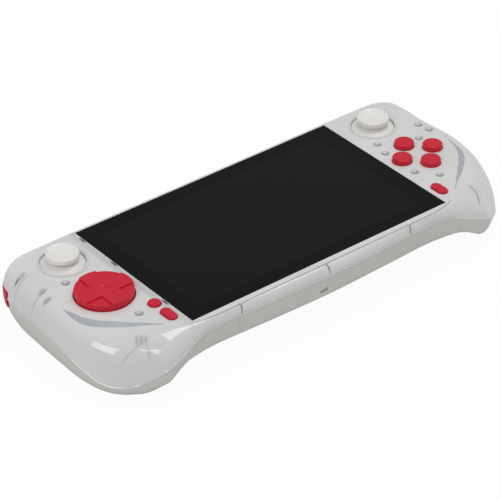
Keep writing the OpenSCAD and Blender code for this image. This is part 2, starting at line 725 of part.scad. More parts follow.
module stick_cap() color("White") at_stick() rotate_extrude() {
    z_top = stick_pivot_d + stick_top;
    r_flat = stick_cap_r - cap_edge;
    z_under = z_top - cap_t;
    dish = [for (k = [0 : 6]) [r_flat * k / 6, z_top - cap_dish * (1 - pow(k / 6, 2))]];
    edge = [for (a = [75 : -15 : 0]) [r_flat + cap_edge * cos(a), z_top - cap_edge + cap_edge * sin(a)]];
    skirt = [for (k = [0 : 6]) [neck_r + (skirt_r - neck_r) * k / 6,
        skirt_high - (skirt_high - skirt_low - skirt_t / 2) * pow(k / 6, 2)]];
    inside = [for (k = [6 : -1 : 0]) [neck_r - 1 + (skirt_r - skirt_t - neck_r + 1) * k / 6,
        skirt_high - skirt_t - (skirt_high - skirt_low - skirt_t) * pow(k / 6, 2)]];
    polygon(concat(dish, edge, [[stick_cap_r, z_under + 0.8], [stick_cap_r - 0.8, z_under]],
        [[neck_r, z_under]], skirt, [[skirt_r, skirt_low]], inside,
        [[socket_r, skirt_high - skirt_t], [socket_r, stick_pivot_d - 3], [post_r + run_gap, stick_pivot_d - 3],
        [post_r + run_gap, post_top + click_travel + post_room], [0, post_top + click_travel + post_room]]));
}

module left_stick_base() mirror([1, 0, 0]) stick_base();
module left_stick_ring() mirror([1, 0, 0]) stick_ring();
module left_stick_shaft() mirror([1, 0, 0]) stick_shaft();
module left_stick_cap() mirror([1, 0, 0]) stick_cap();
module right_stick_base() stick_base();
module right_stick_ring() stick_ring();
module right_stick_shaft() stick_shaft();
module right_stick_cap() stick_cap();

// Direction pad: cap on a rocking carrier over a rubber membrane
dpad_bottom_d = wall + 0.5;
carrier_top_d = dpad_bottom_d + 1.3;
carrier_t = 1.2;
carrier_r = dpad_r + 2.25;
pivot_boss_r = 3;
membrane_top_d = board_d - membrane_t;
dome_r = 2.5;
dome_reach = 11;
module at_dpad() {
    place() translate([-stick_x, dpad_y, 0]) children();
}
dpad_edge = 0.8;
arm_in = 0.1;
module dpad_disc(r, z0, z1) {
    rotate_extrude() polygon(concat([[0, z0], [r, z0]],
        [for (a = [0 : 15 : 90]) [r - dpad_edge + dpad_edge * cos(a), z1 - dpad_edge + dpad_edge * sin(a)]],
        [[0, z1]]));
}
module dpad_cap() color(red_colour) at_dpad() {
    difference() {
        union() {
            dpad_disc(dpad_r, -dpad_bottom_d, dpad_top - dpad_recess);
            intersection() {
                union() {
                    translate([-dpad_r, -dpad_arm_w / 2, 0]) cube([2 * dpad_r, dpad_arm_w, 2 * dpad_top]);
                    translate([-dpad_arm_w / 2, -dpad_r, 0]) cube([dpad_arm_w, 2 * dpad_r, 2 * dpad_top]);
                }
                dpad_disc(dpad_r - arm_in, -1, dpad_top);
            }
        }
        translate([0, 0, dpad_top + 7.3]) sphere(r = 8);
    }
    rod(0, 0, -carrier_top_d + 0.4, -dpad_bottom_d + eps, pivot_boss_r);
}
module dpad_carrier() color(rubber_colour) at_dpad() {
    rod(0, 0, -carrier_top_d - carrier_t, -carrier_top_d, carrier_r);
    rod(0, 0, -carrier_top_d - carrier_t - 0.6, -carrier_top_d - carrier_t + eps, pivot_boss_r);
}
module dpad_membrane() color(rubber_colour) at_dpad() {
    rod(0, 0, -board_d, -membrane_top_d, dpad_r - 1.5);
    for (a = [0 : 90 : 270])
        rod(dome_reach * cos(a), dome_reach * sin(a), -membrane_top_d - eps, -membrane_top_d + 0.1, dome_r);
}

// Face buttons in a diamond over one membrane
face_buttons_at = [for (a = [90, 0, -90, 180]) [stick_x + face_reach * cos(a), face_y + face_reach * sin(a)]];
flange_gap = 0.3;
flange_t = 1;
flange_w = 1.2;
button_bottom_d = wall + flange_gap + flange_t;
module face_button(k) color(red_colour) place()
    translate([face_buttons_at[k][0], face_buttons_at[k][1], 0]) {
        edge = 0.9;
        rotate_extrude() polygon(concat([[0, -button_bottom_d], [face_r + flange_w, -button_bottom_d],
            [face_r + flange_w, -wall - flange_gap], [face_r, -wall - flange_gap]],
            [for (a = [0 : 15 : 90]) [face_r - edge + edge * cos(a), face_top - edge + edge * sin(a)]],
            [[0, face_top]]));
    }
module north_button() face_button(0);
module east_button() face_button(1);
module south_button() face_button(2);
module west_button() face_button(3);
module face_membrane() color(rubber_colour) place() {
    side_l = face_reach * sqrt(2);
    translate([stick_x, face_y, -board_d]) rotate([0, 0, 45])
        translate([-side_l / 2, -side_l / 2, 0]) cube([side_l, side_l, membrane_t]);
    for (p = face_buttons_at) {
        rod(p[0], p[1], -board_d, -membrane_top_d, face_r + 1.75);
        rod(p[0], p[1], -membrane_top_d - eps, -button_bottom_d - face_travel - 0.3, 3.6);
    }
}

// Small buttons
small_flange = 0.7;
module round_button() color(red_colour) place() {
    edge = 0.6;
    translate([-small_x, small_y, 0]) rotate_extrude() polygon(concat([[0, -button_bottom_d],
        [small_r + small_flange, -button_bottom_d], [small_r + small_flange, -wall - flange_gap],
        [small_r, -wall - flange_gap]],
        [for (a = [0 : 15 : 90]) [small_r - edge + edge * cos(a), small_top - edge + edge * sin(a)]],
        [[0, small_top]]));
}
module oval_button() color(red_colour) place() translate([small_x, oval_y, 0]) {
    translate([0, 0, -button_bottom_d]) linear_extrude(flange_t)
        oval(oval_w + 2 * small_flange, oval_l + 2 * small_flange);
    translate([0, 0, -wall - flange_gap - eps]) linear_extrude(wall + flange_gap + small_top) oval(oval_w, oval_l);
}
module left_oval_button() mirror([1, 0, 0]) oval_button();
module right_oval_button() oval_button();
module small_membrane(y1) {
    block(gx + control_in + 0.3, small_x + 4, oval_y - 7, y1, -board_d, -membrane_top_d);
    translate([small_x, oval_y, -membrane_top_d - eps])
        linear_extrude(membrane_top_d - button_bottom_d - small_travel - 0.3) oval(4, 8);
}
module left_small_membrane() color(rubber_colour) place() mirror([1, 0, 0]) {
    small_membrane(small_y + 5);
    rod(small_x, small_y, -membrane_top_d - eps, -button_bottom_d - small_travel - 0.3, 2.4);
}
module right_small_membrane() color(rubber_colour) place() small_membrane(oval_y + 7);

// Bumpers follow the corner of the body and turn on upright pins at their inner ends
function bumper_front(t, d) = let (
        z0 = plateau_at(t)[2], z1 = rim_depth(t),
        f = step_foot(t), c = 1 - (d - z0) / (z1 - z0))
    f + (rim_at(t) - f) * sqrt(1 - c * c);
function bumper_rear(t, d) = let (
        p = rim_at(t), e = rear_edge(t), z0 = rim_depth(t), z1 = rear_depth(e[0], e[1]),
        s = (d - z0) / (z1 - z0))
    p - rounding(p) * (1 - sqrt(1 - s * s)) * outward(t);
function raised(p, z) = [p[0], p[1], z];
function bumper_section(t) = let (
        n = outward(t), proud = bumper_proud * n, p = rim_at(t), inner = p - bumper_t * n,
        mid = rim_depth(t))
    [raised(inner, -bumper_z0), raised(bumper_front(t, bumper_z0) + proud, -bumper_z0),
    raised(bumper_front(t, (bumper_z0 + mid) / 2) + proud, -(bumper_z0 + mid) / 2), raised(p + proud, -mid),
    raised(bumper_rear(t, (bumper_z1 + mid) / 2) + proud, -(bumper_z1 + mid) / 2),
    raised(bumper_rear(t, bumper_z1) + proud, -bumper_z1), raised(inner, -bumper_z1)];
module bumper() color(red_colour) place() difference() {
    union() {
        loft([for (t = [bumper_to : -0.27 : bumper_from]) bumper_section(t)]);
        rod(bumper_pin_x, bumper_pin_y, -bumper_z1, -bumper_z0, bumper_ear_r);
    }
    rod(bumper_pin_x, bumper_pin_y, -40, 0, bumper_pin_r + run_gap);
}
module bumper_pin() color(steel_colour) place()
    rod(bumper_pin_x, bumper_pin_y, -bumper_pin_z1, -bumper_pin_z0, bumper_pin_r);
module left_bumper() mirror([1, 0, 0]) bumper();
module right_bumper() bumper();
module left_bumper_pin() mirror([1, 0, 0]) bumper_pin();
module right_bumper_pin() bumper_pin();

// Triggers hang on level pins in the rear wells
trigger_outer = [[-2.6, 20.6], [-2.9, 23], [-3.6, 26], [-4.7, 28.6], [-6.4, 31], [-8.4, 32.6], [-10.4, 33]];
trigger_inner = [[-11.6, 32], [-10.6, 30.6], [-9, 29], [-7.6, 26.8], [-6.7, 24], [-6.4, 20.6]];
module trigger_profile() {
    polygon([for (p = concat(trigger_outer, trigger_inner)) [top + p[0], -p[1]]]);
}
module trigger_ear() {
    translate([trigger_pin_y, -trigger_pin_d]) circle(r = trigger_ear_r);
    polygon([[trigger_pin_y, -trigger_pin_d + trigger_ear_r], [top - 5, -trigger_top_d],
        [top - 6, -27.5], [trigger_pin_y, -trigger_pin_d - trigger_ear_r]]);
}
module along_x(x0, x1) {
    translate([x0, 0, 0]) rotate([90, 0, 90]) linear_extrude(x1 - x0) children();
}
module trigger() color(red_colour) place() difference() {
    union() {
        along_x(trigger_x0, trigger_x1) trigger_profile();
        along_x(trigger_x0, trigger_x0 + trigger_ear_t) trigger_ear();
        along_x(trigger_x1 - trigger_ear_t, trigger_x1) trigger_ear();
    }
    rod_x(trigger_x0 - 5, trigger_x1 + 5, trigger_pin_y, -trigger_pin_d, trigger_pin_r + run_gap);
}
module trigger_pin() color(steel_colour) place()
    rod_x(trigger_x0 - trigger_gap - 1, trigger_x1 + trigger_gap + 0.6, trigger_pin_y, -trigger_pin_d, trigger_pin_r);
module left_trigger() mirror([1, 0, 0]) trigger();
module right_trigger() trigger();
module left_trigger_pin() mirror([1, 0, 0]) trigger_pin();
module right_trigger_pin() trigger_pin();

// Torsion spring: one unbroken wire wound round the trigger's pin
spring_r = 2;
wire_r = 0.35;
spring_turns = 4;
spring_pitch = 1.3;
spring_rings = 8;
wire_sides = 6;
spring_x0 = trigger_x0 + trigger_ear_t + 1;
function coil_point(k) = let (a = 360 * k / spring_rings)
    [spring_x0 + spring_pitch * k / spring_rings, trigger_pin_y + spring_r * cos(a), -trigger_pin_d + spring_r * sin(a)];
function coil_ring(k) = let (c = coil_point(k), a = 360 * k / spring_rings)
    [for (j = [wire_sides - 1 : -1 : 0]) let (b = 360 * j / wire_sides, r = wire_r * cos(b))
        c + [wire_r * sin(b), r * cos(a), r * sin(a)]];
spring_gap = spring_pitch - 2 * wire_r;
echo(spring_gap_mm = spring_gap);
module trigger_spring() color(steel_colour) place()
    loft([for (k = [0 : spring_turns * spring_rings]) coil_ring(k)]);
module left_trigger_spring() mirror([1, 0, 0]) trigger_spring();
module right_trigger_spring() trigger_spring();

// Keys of the top edge with their board
module key(x, w, seat) color(shell_colour) place() {
    block(x - w / 2, x + w / 2, seat - eps, key_end, -key_d - key_h / 2, -key_d + key_h / 2);
    block(x - w / 2 - key_flange, x + w / 2 + key_flange, seat - 0.9, seat, -key_d - key_h / 2 - key_flange,
        -key_d + key_h / 2 + key_flange);
    block(x - 1, x + 1, key_board_y + board_t / 2 + 0.9, seat - 0.5, -key_d - 1, -key_d + 1);
}
module power_button() key(power_x, power_w, key_seat);
module volume_rocker() key(volume_x, volume_w, volume_seat);
module key_board() color(board_colour) place()
    block(volume_x - volume_w / 2, power_x + power_w / 2, key_board_y - board_t / 2, key_board_y + board_t / 2,
        -key_d - key_h, -key_d + key_h);

// Ports on the main board's top edge
port_wall = 0.35;
module charging_port() color(steel_colour) place() difference() {
    block(port_x - port_w / 2, port_x + port_w / 2, main_y0 + main_h - 2, port_end, -main_under_d - port_h,
        -main_under_d);
    difference() {
        block(port_x - port_w / 2 + port_wall, port_x + port_w / 2 - port_wall, main_y0 + main_h, top + 5,
            -main_under_d - port_h + port_wall, -main_under_d - port_wall);
        block(port_x - 3.3, port_x + 3.3, 0, port_end - 0.8, -main_under_d - port_h / 2 - 0.35,
            -main_under_d - port_h / 2 + 0.35);
    }
}
module headphone_jack() color("DimGray") place() difference() {
    union() {
        block(jack_x - 3.5, jack_x + 3.5, port_end - jack_bore_l - 1.5, top - 4.5,
            -main_under_d - 2 * jack_barrel_r, -main_under_d);
        rod_y(jack_x, top - 5, port_end, -main_under_d - jack_barrel_r, jack_barrel_r);
    }
    rod_y(jack_x, port_end - jack_bore_l, top + 5, -main_under_d - jack_barrel_r, jack_bore_r);
}
module card_reader() color(steel_colour) place() difference() {
    block(card_x - card_w / 2, card_x + card_w / 2, main_y0 + main_h - 10, top - 4.5, -main_under_d - card_h,
        -main_under_d);
    block(card_x - card_w / 2 + 1, card_x + card_w / 2 - 1, main_y0 + main_h - 8, top, -main_under_d - card_h + 0.4,
        -main_under_d - 0.4);
}

module speaker() color(rubber_colour) place()
    translate([gx + speaker_in - speaker_w / 2, grip_low + speaker_up - speaker_h / 2, -speaker_d])
        cube([speaker_w, speaker_h, speaker_t]);
module left_speaker() mirror([1, 0, 0]) speaker();
module right_speaker() speaker();
module motor() color(steel_colour) place()
    rod(pad_x, pad_y - 6, -body_d + wall, -body_d + wall + motor_h, motor_r);
module left_motor() mirror([1, 0, 0]) motor();
module right_motor() motor();
module microphone() color("Gold") place()
    rod(gx + mic_in, -gy + mic_up, -wall - 1.2, -wall, 1.8);

// Fasteners
module screw(p, head_d, tip_d, r, head_r, head_h) {
    rod(p[0], p[1], -head_d, -head_d + head_h, head_r);
    rod(p[0], p[1], -head_d + head_h - eps, -tip_d, r);
}
module shell_screws() color(steel_colour) place()
    for (p = shell_screws_at) both_sides()
        screw(p, rear_depth(p[0], p[1]), p[2] + screw_grip + 0.5, screw_r, screw_head_r, screw_head_h);
module control_board_screws() color(steel_colour) place()
    for (p = board_bosses_at)
        screw(p, board_under_d + 0.9, wall + 2, board_screw_r, 1.6, 0.9);
module main_board_screws() color(steel_colour) place()
    for (p = main_screws_at)
        screw(p, main_under_d + 0.9, frame_d + 0.5, board_screw_r, 1.6, 0.9);

front_shell();
rear_shell();
cover_glass();
glass_adhesive();
display_panel();
mid_frame();
main_board();
processor_shield();
heat_spreader();
battery();
left_control_board();
right_control_board();
left_ribbon();
right_ribbon();
left_stick_base();
left_stick_ring();
left_stick_shaft();
left_stick_cap();
right_stick_base();
right_stick_ring();
right_stick_shaft();
right_stick_cap();
dpad_cap();
dpad_carrier();
dpad_membrane();
north_button();
east_button();
south_button();
west_button();
face_membrane();
round_button();
left_oval_button();
right_oval_button();
left_small_membrane();
right_small_membrane();
left_bumper();
right_bumper();
left_bumper_pin();
right_bumper_pin();
left_trigger();
right_trigger();
left_trigger_pin();
right_trigger_pin();
left_trigger_spring();
right_trigger_spring();
power_button();
volume_rocker();
key_board();
charging_port();
headphone_jack();
card_reader();
left_speaker();
right_speaker();
left_motor();
right_motor();
microphone();
shell_screws();
control_board_screws();
main_board_screws();
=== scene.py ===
# %% [markdown]
# # A handheld game console, dressed around its CAD frame
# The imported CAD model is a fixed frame: it says where every solid is and which solids move. This lesson
# loads it, sets a camera and a studio, makes the finishes, and then builds finer pieces in the same places.

# %% Load the frame
import json
import math

import bmesh
import bpy
from mathutils import Matrix, Vector


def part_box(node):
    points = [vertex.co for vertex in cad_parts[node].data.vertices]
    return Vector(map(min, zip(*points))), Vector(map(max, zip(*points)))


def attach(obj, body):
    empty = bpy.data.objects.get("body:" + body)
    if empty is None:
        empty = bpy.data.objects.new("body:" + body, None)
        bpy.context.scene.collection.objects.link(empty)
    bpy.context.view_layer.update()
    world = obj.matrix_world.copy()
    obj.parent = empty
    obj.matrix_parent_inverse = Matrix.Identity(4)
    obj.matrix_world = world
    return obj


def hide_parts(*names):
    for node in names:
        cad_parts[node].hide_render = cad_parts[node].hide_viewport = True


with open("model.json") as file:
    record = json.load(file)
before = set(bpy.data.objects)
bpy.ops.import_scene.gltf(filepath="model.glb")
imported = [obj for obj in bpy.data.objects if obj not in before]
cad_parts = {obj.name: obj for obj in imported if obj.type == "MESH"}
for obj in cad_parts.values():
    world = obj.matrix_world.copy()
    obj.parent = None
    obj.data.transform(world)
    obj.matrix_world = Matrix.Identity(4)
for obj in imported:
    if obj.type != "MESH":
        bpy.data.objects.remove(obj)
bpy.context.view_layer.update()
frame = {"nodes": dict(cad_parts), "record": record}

# %% [markdown]
# ## Working units
# The console is easiest to draw in millimetres from the middle of its screen, with z counted up from the
# front face. One matrix then moves a finished piece into the frame, which is in metres above the table.

# %% Sizes from the frame
MM = 0.001
glass_low, glass_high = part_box("cover_glass")
GLASS_X = glass_high.x / MM
GLASS_Y = (glass_high.y - glass_low.y) / 2 / MM
GLASS_T = (glass_high.z - glass_low.z) / MM
SCREEN_Y = (glass_high.y + glass_low.y) / 2 / MM
BODY_D = glass_high.z / MM
TO_FRAME = Matrix.Translation((0, SCREEN_Y * MM, BODY_D * MM)) @ Matrix.Scale(MM, 4)
print(f"glass {2 * GLASS_X:.1f} x {2 * GLASS_Y:.1f} mm, body {BODY_D:.1f} mm deep")


def local_box(node):
    """Lowest and highest corner of a CAD node, in millimetres from the screen's middle."""
    low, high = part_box(node)
    return TO_FRAME.inverted() @ low, TO_FRAME.inverted() @ high


# %% [markdown]
# ## Camera
# A long lens from the left and above, as in the photograph. The camera's place and its two directions were
# worked out from the corners of the glass, so the render lines up with the photograph without any shift.

# %% Camera
CAMERA_MM = Vector((-756.99, -945.60, 806.94))
CAMERA_FORWARD = Vector((0.51227, 0.64713, -0.56462))
CAMERA_RIGHT = Vector((0.78137, -0.62404, -0.0063))
FOCAL_PX = 2639.5
PHOTO_PX = 500
SENSOR_MM = 36

camera_data = bpy.data.cameras.new("camera")
camera_data.sensor_width = SENSOR_MM
camera_data.lens = FOCAL_PX / PHOTO_PX * SENSOR_MM
camera = bpy.data.objects.new("camera", camera_data)
bpy.context.scene.collection.objects.link(camera)
camera_up = CAMERA_RIGHT.cross(CAMERA_FORWARD)
turn = Matrix((CAMERA_RIGHT, camera_up, -CAMERA_FORWARD)).transposed().to_4x4()
camera.matrix_world = Matrix.Translation(TO_FRAME @ CAMERA_MM) @ turn
bpy.context.scene.camera = camera
print(f"lens {camera_data.lens:.1f} mm, {camera.location.length:.2f} m from the console")

# %% [markdown]
# ## Finishes: two helpers
# Colours are written as the hex values that a colour picker shows, and one function turns them linear. One
# small function adds a shader node, sets its values and makes its links, so a finish reads as a short list.


# %% Shader helpers
def linear(hex_colour, alpha=1.0):
    """Linear colour of an sRGB hex value such as "C8283C"."""
    channels = [int(hex_colour[i:i + 2], 16) / 255 for i in (0, 2, 4)]
    return [c / 12.92 if c <= 0.04045 else ((c + 0.055) / 1.055) ** 2.4 for c in channels] + [alpha]


def add(tree, kind, inputs=None, **settings):
    """Adds a shader node with its settings; an input is a plain value or another node's output."""
    node = tree.nodes.new("ShaderNode" + kind)
    for name, value in settings.items():
        setattr(node, name, value)
    for socket, value in (inputs or {}).items():
        if isinstance(value, bpy.types.NodeSocket):
            tree.links.new(value, node.inputs[socket])
        else:
            node.inputs[socket].default_value = value
    return node


def new_finish(name, **surface):
    """A material with a Principled shader, its node tree and its Object coordinates."""
    finish = bpy.data.materials.new(name)
    finish.use_nodes = True
    tree = finish.node_tree
    shader = tree.nodes["Principled BSDF"]
    for socket, value in surface.items():
        shader.inputs[socket.replace("_", " ")].default_value = value
    place = add(tree, "TexCoord").outputs["Object"]
    return finish, tree, shader, place


def grain(tree, shader, place, size_mm, height_mm, detail=2.0):
    """Bumps a finish with a moulded or cast grain of a real size, and returns the grain's pattern."""
    noise = add(tree, "TexNoise", {"Vector": place, "Scale": 1 / (size_mm * MM), "Detail": detail})
    bump = add(tree, "Bump", {"Height": noise.outputs["Fac"], "Distance": height_mm * MM, "Strength": 1.0})
    tree.links.new(bump.outputs["Normal"], shader.inputs["Normal"])
    return noise.outputs["Fac"]


def mottle(tree, shader, pattern, dark, light, low=0.35, high=0.65):
    """Runs the base colour between two near tones along a pattern."""
    share = add(tree, "MapRange", {"Value": pattern, "From Min": low, "From Max": high})
    mix = add(tree, "Mix", {"Factor": share.outputs["Result"]}, data_type="RGBA")
    mix.inputs[6].default_value = linear(dark)
    mix.inputs[7].default_value = linear(light)
    tree.links.new(mix.outputs[2], shader.inputs["Base Color"])
    return mix.outputs[2]


# %% [markdown]
# ## Milky polycarbonate
# The front cover is moulded in clear polycarbonate with a little white in it. It is glossy, light soaks into
# it for a few millimetres, and what lies close behind it shows through as soft grey marks: screw bosses, ribs
# and clips. Real depth under a cloudy skin renders slowly and noisily, so these marks are painted shade in
# the colour, at the places of the parts behind, and a band of painted shade runs along the left edge of the
# glass. Each mark is a soft ellipsoid with its half sizes in millimetres.

# %% Places of the marks
STICK_X, STICK_Y = 110.1, 34.1
DPAD_Y, FACE_Y = -4.0, -5.0
bosses = [(-120.4, 16.9), (-106.5, -30.0), (99.1, 17.0), (96.3, 7.0), (122.0, 7.0), (96.3, -18.6),
    (105.3, -29.5), (131.7, 18.3), (132.9, 10.5)]
# each mark: x, y, z, then half its length, width and depth, its turn in degrees and its darkness
clips = [(-89.8, y, 0, 2.6, 0.7, 3, 90, 0.9) for y in (44.0, 15.0, -30.5)]
for x in (-60.5, -1.7, 57.7):
    clips += [(x, -56.6, -0.3, 2.6, 0.45, 1, 0, 0.6), (x + 0.6, -58.4, -1.5, 2.4, 0.6, 5, 95, 0.65)]
left_ribs = [(-137.0, 33.8, -3, 8.5, 0.6, 12, 12, 0.2), (-138.0, 16.8, -3, 8.5, 0.6, 12, 12, 0.24),
    (-138.7, 36.3, -1.9, 2.2, 0.8, 3, 20, 0.65), (-136.9, 10.5, -1.2, 2.8, 1.6, 4, 10, 0.5),
    (-134.3, 18.6, -0.4, 3.0, 1.8, 4, 30, 0.36), (-135.0, 37.0, -0.5, 3.4, 1.5, 4, 30, 0.3),
    (-98.0, 3.0, 0, 4.0, 0.35, 2, 0, 0.3), (-128.5, 2.0, 0, 3.0, 0.35, 2, 0, 0.24)]
fork = [(-119.0 + 2 * k, -44.5 - 1.5 * k, -4, 2.8, 0.6, 6, 56, 0.14) for k in range(3)]
fork += [(-117.0, -46.0, -4, 2.6, 3.4, 6, 56, 0.2), (-125.0, -46.2, -9, 5.5, 0.6, 9, -6, 0.16),
    (-117.5, -52.6, -8, 3.0, 0.6, 6, 75, 0.2)]
right_ribs = [(112.8, -48.4, -2.8, 3.0, 1.1, 4, 80, 0.3), (111.2, -54.6, -4.6, 5.2, 0.5, 6, 62, 0.6),
    (124.0, 42.0, 0, 4.0, 0.6, 4, 20, 0.4), (122.5, 44.0, 0, 3.0, 0.6, 4, -50, 0.3),
    (136.0, -1.0, 0, 0.8, 0.8, 2, 0, 0.25)]
# A band of painted shade along the left edge of the glass.
glass_edge_shade = [(-91.0, 0, 0, 60.0, 2.4, 2, 90, 0.22)]
# Thin upright marks of painted shade at the ribs of the rear case's bottom wall.
wall_rib_shade = [(-52.4, -59.5, -7.4, 0.4, 3, 3.0, 0, 0.14), (-61.1, -59.5, -12.0, 0.4, 3, 2.6, 0, 0.4),
    (-66.0, -59.5, -13.7, 0.4, 3, 2.4, 0, 0.22), (-78.3, -59.5, -16.0, 0.4, 3, 2.2, 0, 0.2),
    (95.2, -59.5, -15.4, 0.4, 3, 3.0, 0, 0.2)]
print("marks behind the cover:", len(bosses) + len(clips + left_ribs + fork + right_ribs + glass_edge_shade))


# %% Drawing a mark
def mark(tree, place, x, y, z, along, across, down, turn=0, strength=1.0, soft=0.6):
    """A soft ellipsoid of a given strength, turned about the upright axis."""
    inside = add(tree, "Mapping", {"Vector": place, "Location": TO_FRAME @ Vector((x, y, z)),
        "Rotation": (0, 0, math.radians(turn)), "Scale": (along * MM, across * MM, down * MM)},
        vector_type="TEXTURE")
    reach = add(tree, "VectorMath", {0: inside.outputs["Vector"]}, operation="LENGTH")
    share = add(tree, "MapRange", {"Value": reach.outputs["Value"], "From Min": 1.0 - soft,
        "From Max": 1.0 + soft, "To Min": strength, "To Max": 0.0}, interpolation_type="SMOOTHSTEP")
    return share.outputs["Result"]


def paint_shade(tree, shader, colour, marks, dark):
    """Adds up the strengths of some marks and mixes a dark tone into the base colour there, as painted shade.
    """
    shade = marks[0]
    for one in marks[1:]:
        shade = add(tree, "Math", {0: shade, 1: one}, operation="ADD").outputs["Value"]
    marked = add(tree, "Mix", {"Factor": shade, 6: colour, 7: linear(dark)},
        data_type="RGBA", clamp_factor=True)
    tree.links.new(marked.outputs[2], shader.inputs["Base Color"])


# %% Milky polycarbonate
milky, tree, shader, place = new_finish(
    "milky_polycarbonate", Roughness=0.07, IOR=1.58, Subsurface_Weight=0.25,
    Subsurface_Radius=(1.0, 0.95, 0.9), Subsurface_Scale=2.5 * MM)
grain(tree, shader, place, 5.0, 0.004, 0.0)
cloud = add(tree, "TexNoise", {"Vector": place, "Scale": 1 / (45 * MM), "Detail": 1.0}).outputs["Fac"]
body_colour = mottle(tree, shader, cloud, "E2E3E3", "EAEAE9")
# Painted shade of the parts behind the cover: the marks' dark tone is mixed into the cover's colour.
painted_shade_marks = [mark(tree, place, *spot) for spot in clips + left_ribs + fork + right_ribs + glass_edge_shade]
for x, y in bosses:
    painted_shade_marks.append(mark(tree, place, x, y, 0, 2.4, 2.4, 8, strength=0.62, soft=0.25))
    painted_shade_marks.append(mark(tree, place, x + 0.3, y + 0.8, 0, 1.4, 1.2, 8, strength=-0.5, soft=0.5))
paint_shade(tree, shader, body_colour, painted_shade_marks, "55534F")
print("milky polycarbonate with", len(painted_shade_marks), "soft marks")

# %% [markdown]
# Where the cover steps down beside the grips and along the bottom, it is seen through its thickness and its
# step faces turn away from the lamps. Those faces get a greyer, slightly blue copy of the milky finish:
# painted shade with a painted bluish reflection.

# %% Milky polycarbonate at a step, in painted shade
milky_step_shade, tree, shader, place = new_finish("milky_polycarbonate_step_shade", Roughness=0.4, IOR=1.58)
fine = grain(tree, shader, place, 5.0, 0.004, 0.0)
# The step's painted shade: greyer and a little blue.
mottle(tree, shader, fine, "B4B8BF", "BCC0C6")
print("step finish:", milky_step_shade.name)

# %% [markdown]
# The wells under the sticks get light through the cover as well as from above. That share is a weak glow,
# since the cover itself is drawn without real depth.

# %% Milky polycarbonate in the wells
milky_well, tree, shader, place = new_finish(
    "milky_polycarbonate_well", Roughness=0.35, IOR=1.58, Emission_Strength=0.22)
shader.inputs["Emission Color"].default_value = linear("E6E4E2")
fine = grain(tree, shader, place, 5.0, 0.004, 0.0)
mottle(tree, shader, fine, "DEDCDA", "E6E4E2")
print("well finish:", milky_well.name)

# %% [markdown]
# ## Moulded plastics
# The rear case is a warmer grey-white ABS with a spark-eroded grain, so it scatters light. The thumb caps
# are a smoother white, and the buttons a saturated red with a satin skin. The grains are 0.3 to 0.6 mm on
# the real parts; they are drawn at the coarse end so that they still show in a small render.

# %% Moulded plastics
rear_abs, tree, shader, place = new_finish("grained_grey_white_abs", Roughness=0.46, IOR=1.53)
fine = grain(tree, shader, place, 0.6, 0.012)
case_colour = mottle(tree, shader, fine, "D6D4D0", "DCDAD6")
# Painted shade at the ribs of the bottom wall, in a dark tone mixed into the grey.
paint_shade(tree, shader, case_colour, [mark(tree, place, *spot) for spot in wall_rib_shade], "6A6862")

white_abs, tree, shader, place = new_finish("satin_white_abs", Roughness=0.36, IOR=1.53)
fine = grain(tree, shader, place, 0.5, 0.01)
mottle(tree, shader, fine, "F4F2EF", "FAF8F5")

red_abs, tree, shader, place = new_finish("satin_red_abs", Roughness=0.42, IOR=1.53, Specular_IOR_Level=0.3)
fine = grain(tree, shader, place, 0.45, 0.012)
mottle(tree, shader, fine, "D2142F", "DC1A38")

# The triggers get a darker copy of the red: painted shade of blades that sit under the body.
red_abs_painted_shade, tree, shader, place = new_finish("satin_red_abs_painted_shade", Roughness=0.42, IOR=1.53)
fine = grain(tree, shader, place, 0.45, 0.012)
mottle(tree, shader, fine, "A3182C", "B01E34")

black_abs, tree, shader, place = new_finish("matt_black_abs", Roughness=0.55, IOR=1.53)
fine = grain(tree, shader, place, 0.4, 0.015)
mottle(tree, shader, fine, "161616", "1E1E1E")

rubber, tree, shader, place = new_finish("grey_silicone_rubber", Roughness=0.7, IOR=1.41)
fine = grain(tree, shader, place, 0.8, 0.02)
mottle(tree, shader, fine, "56565A", "626266")
plastics = (rear_abs, white_abs, red_abs, red_abs_painted_shade, black_abs, rubber)
print("plastics:", ", ".join(plastic.name for plastic in plastics))

# %% [markdown]
# ## Glass, metals and boards
# The cover glass is black printed on its back, with a coating against reflections. Behind it the lit area of
# the display is a shade lighter. The metals are stampings with a faint rolled grain, and the boards are
# solder-masked laminate with a fine weave.

# %% Cover glass
ACTIVE_X, ACTIVE_Y = 77.5, 43.6
cover_glass, tree, shader, place = new_finish(
    "coated_black_glass", Roughness=0.06, IOR=1.5, Specular_IOR_Level=0.1)
centre = TO_FRAME @ Vector((-0.5, -0.5, 0))
inside = add(tree, "Mapping", {"Vector": place, "Location": centre,
    "Scale": (ACTIVE_X * MM, ACTIVE_Y * MM, 1)}, vector_type="TEXTURE")
parts = add(tree, "SeparateXYZ", {"Vector": inside.outputs["Vector"]})
edges = [add(tree, "Math", {0: parts.outputs[k]}, operation="ABSOLUTE").outputs["Value"] for k in ("X", "Y")]
edge = add(tree, "Math", {0: edges[0], 1: edges[1]}, operation="MAXIMUM").outputs["Value"]
lit = add(tree, "MapRange", {"Value": edge, "From Min": 0.997, "From Max": 1.003,
    "To Min": 1.0, "To Max": 0.0})
mottle(tree, shader, lit.outputs["Result"], "090909", "111112", 0.0, 1.0)
print("cover glass with a lit area of", 2 * ACTIVE_X, "x", 2 * ACTIVE_Y, "mm")

# %% Metals, boards and wraps
steel, tree, shader, place = new_finish("rolled_steel", Metallic=1.0, Roughness=0.32)
fine = grain(tree, shader, place, 0.5, 0.006)
mottle(tree, shader, fine, "9C9C9F", "B4B4B6")

aluminium, tree, shader, place = new_finish("pressed_aluminium", Metallic=1.0, Roughness=0.42)
fine = grain(tree, shader, place, 0.7, 0.008)
mottle(tree, shader, fine, "A9AAAC", "BDBEC0")

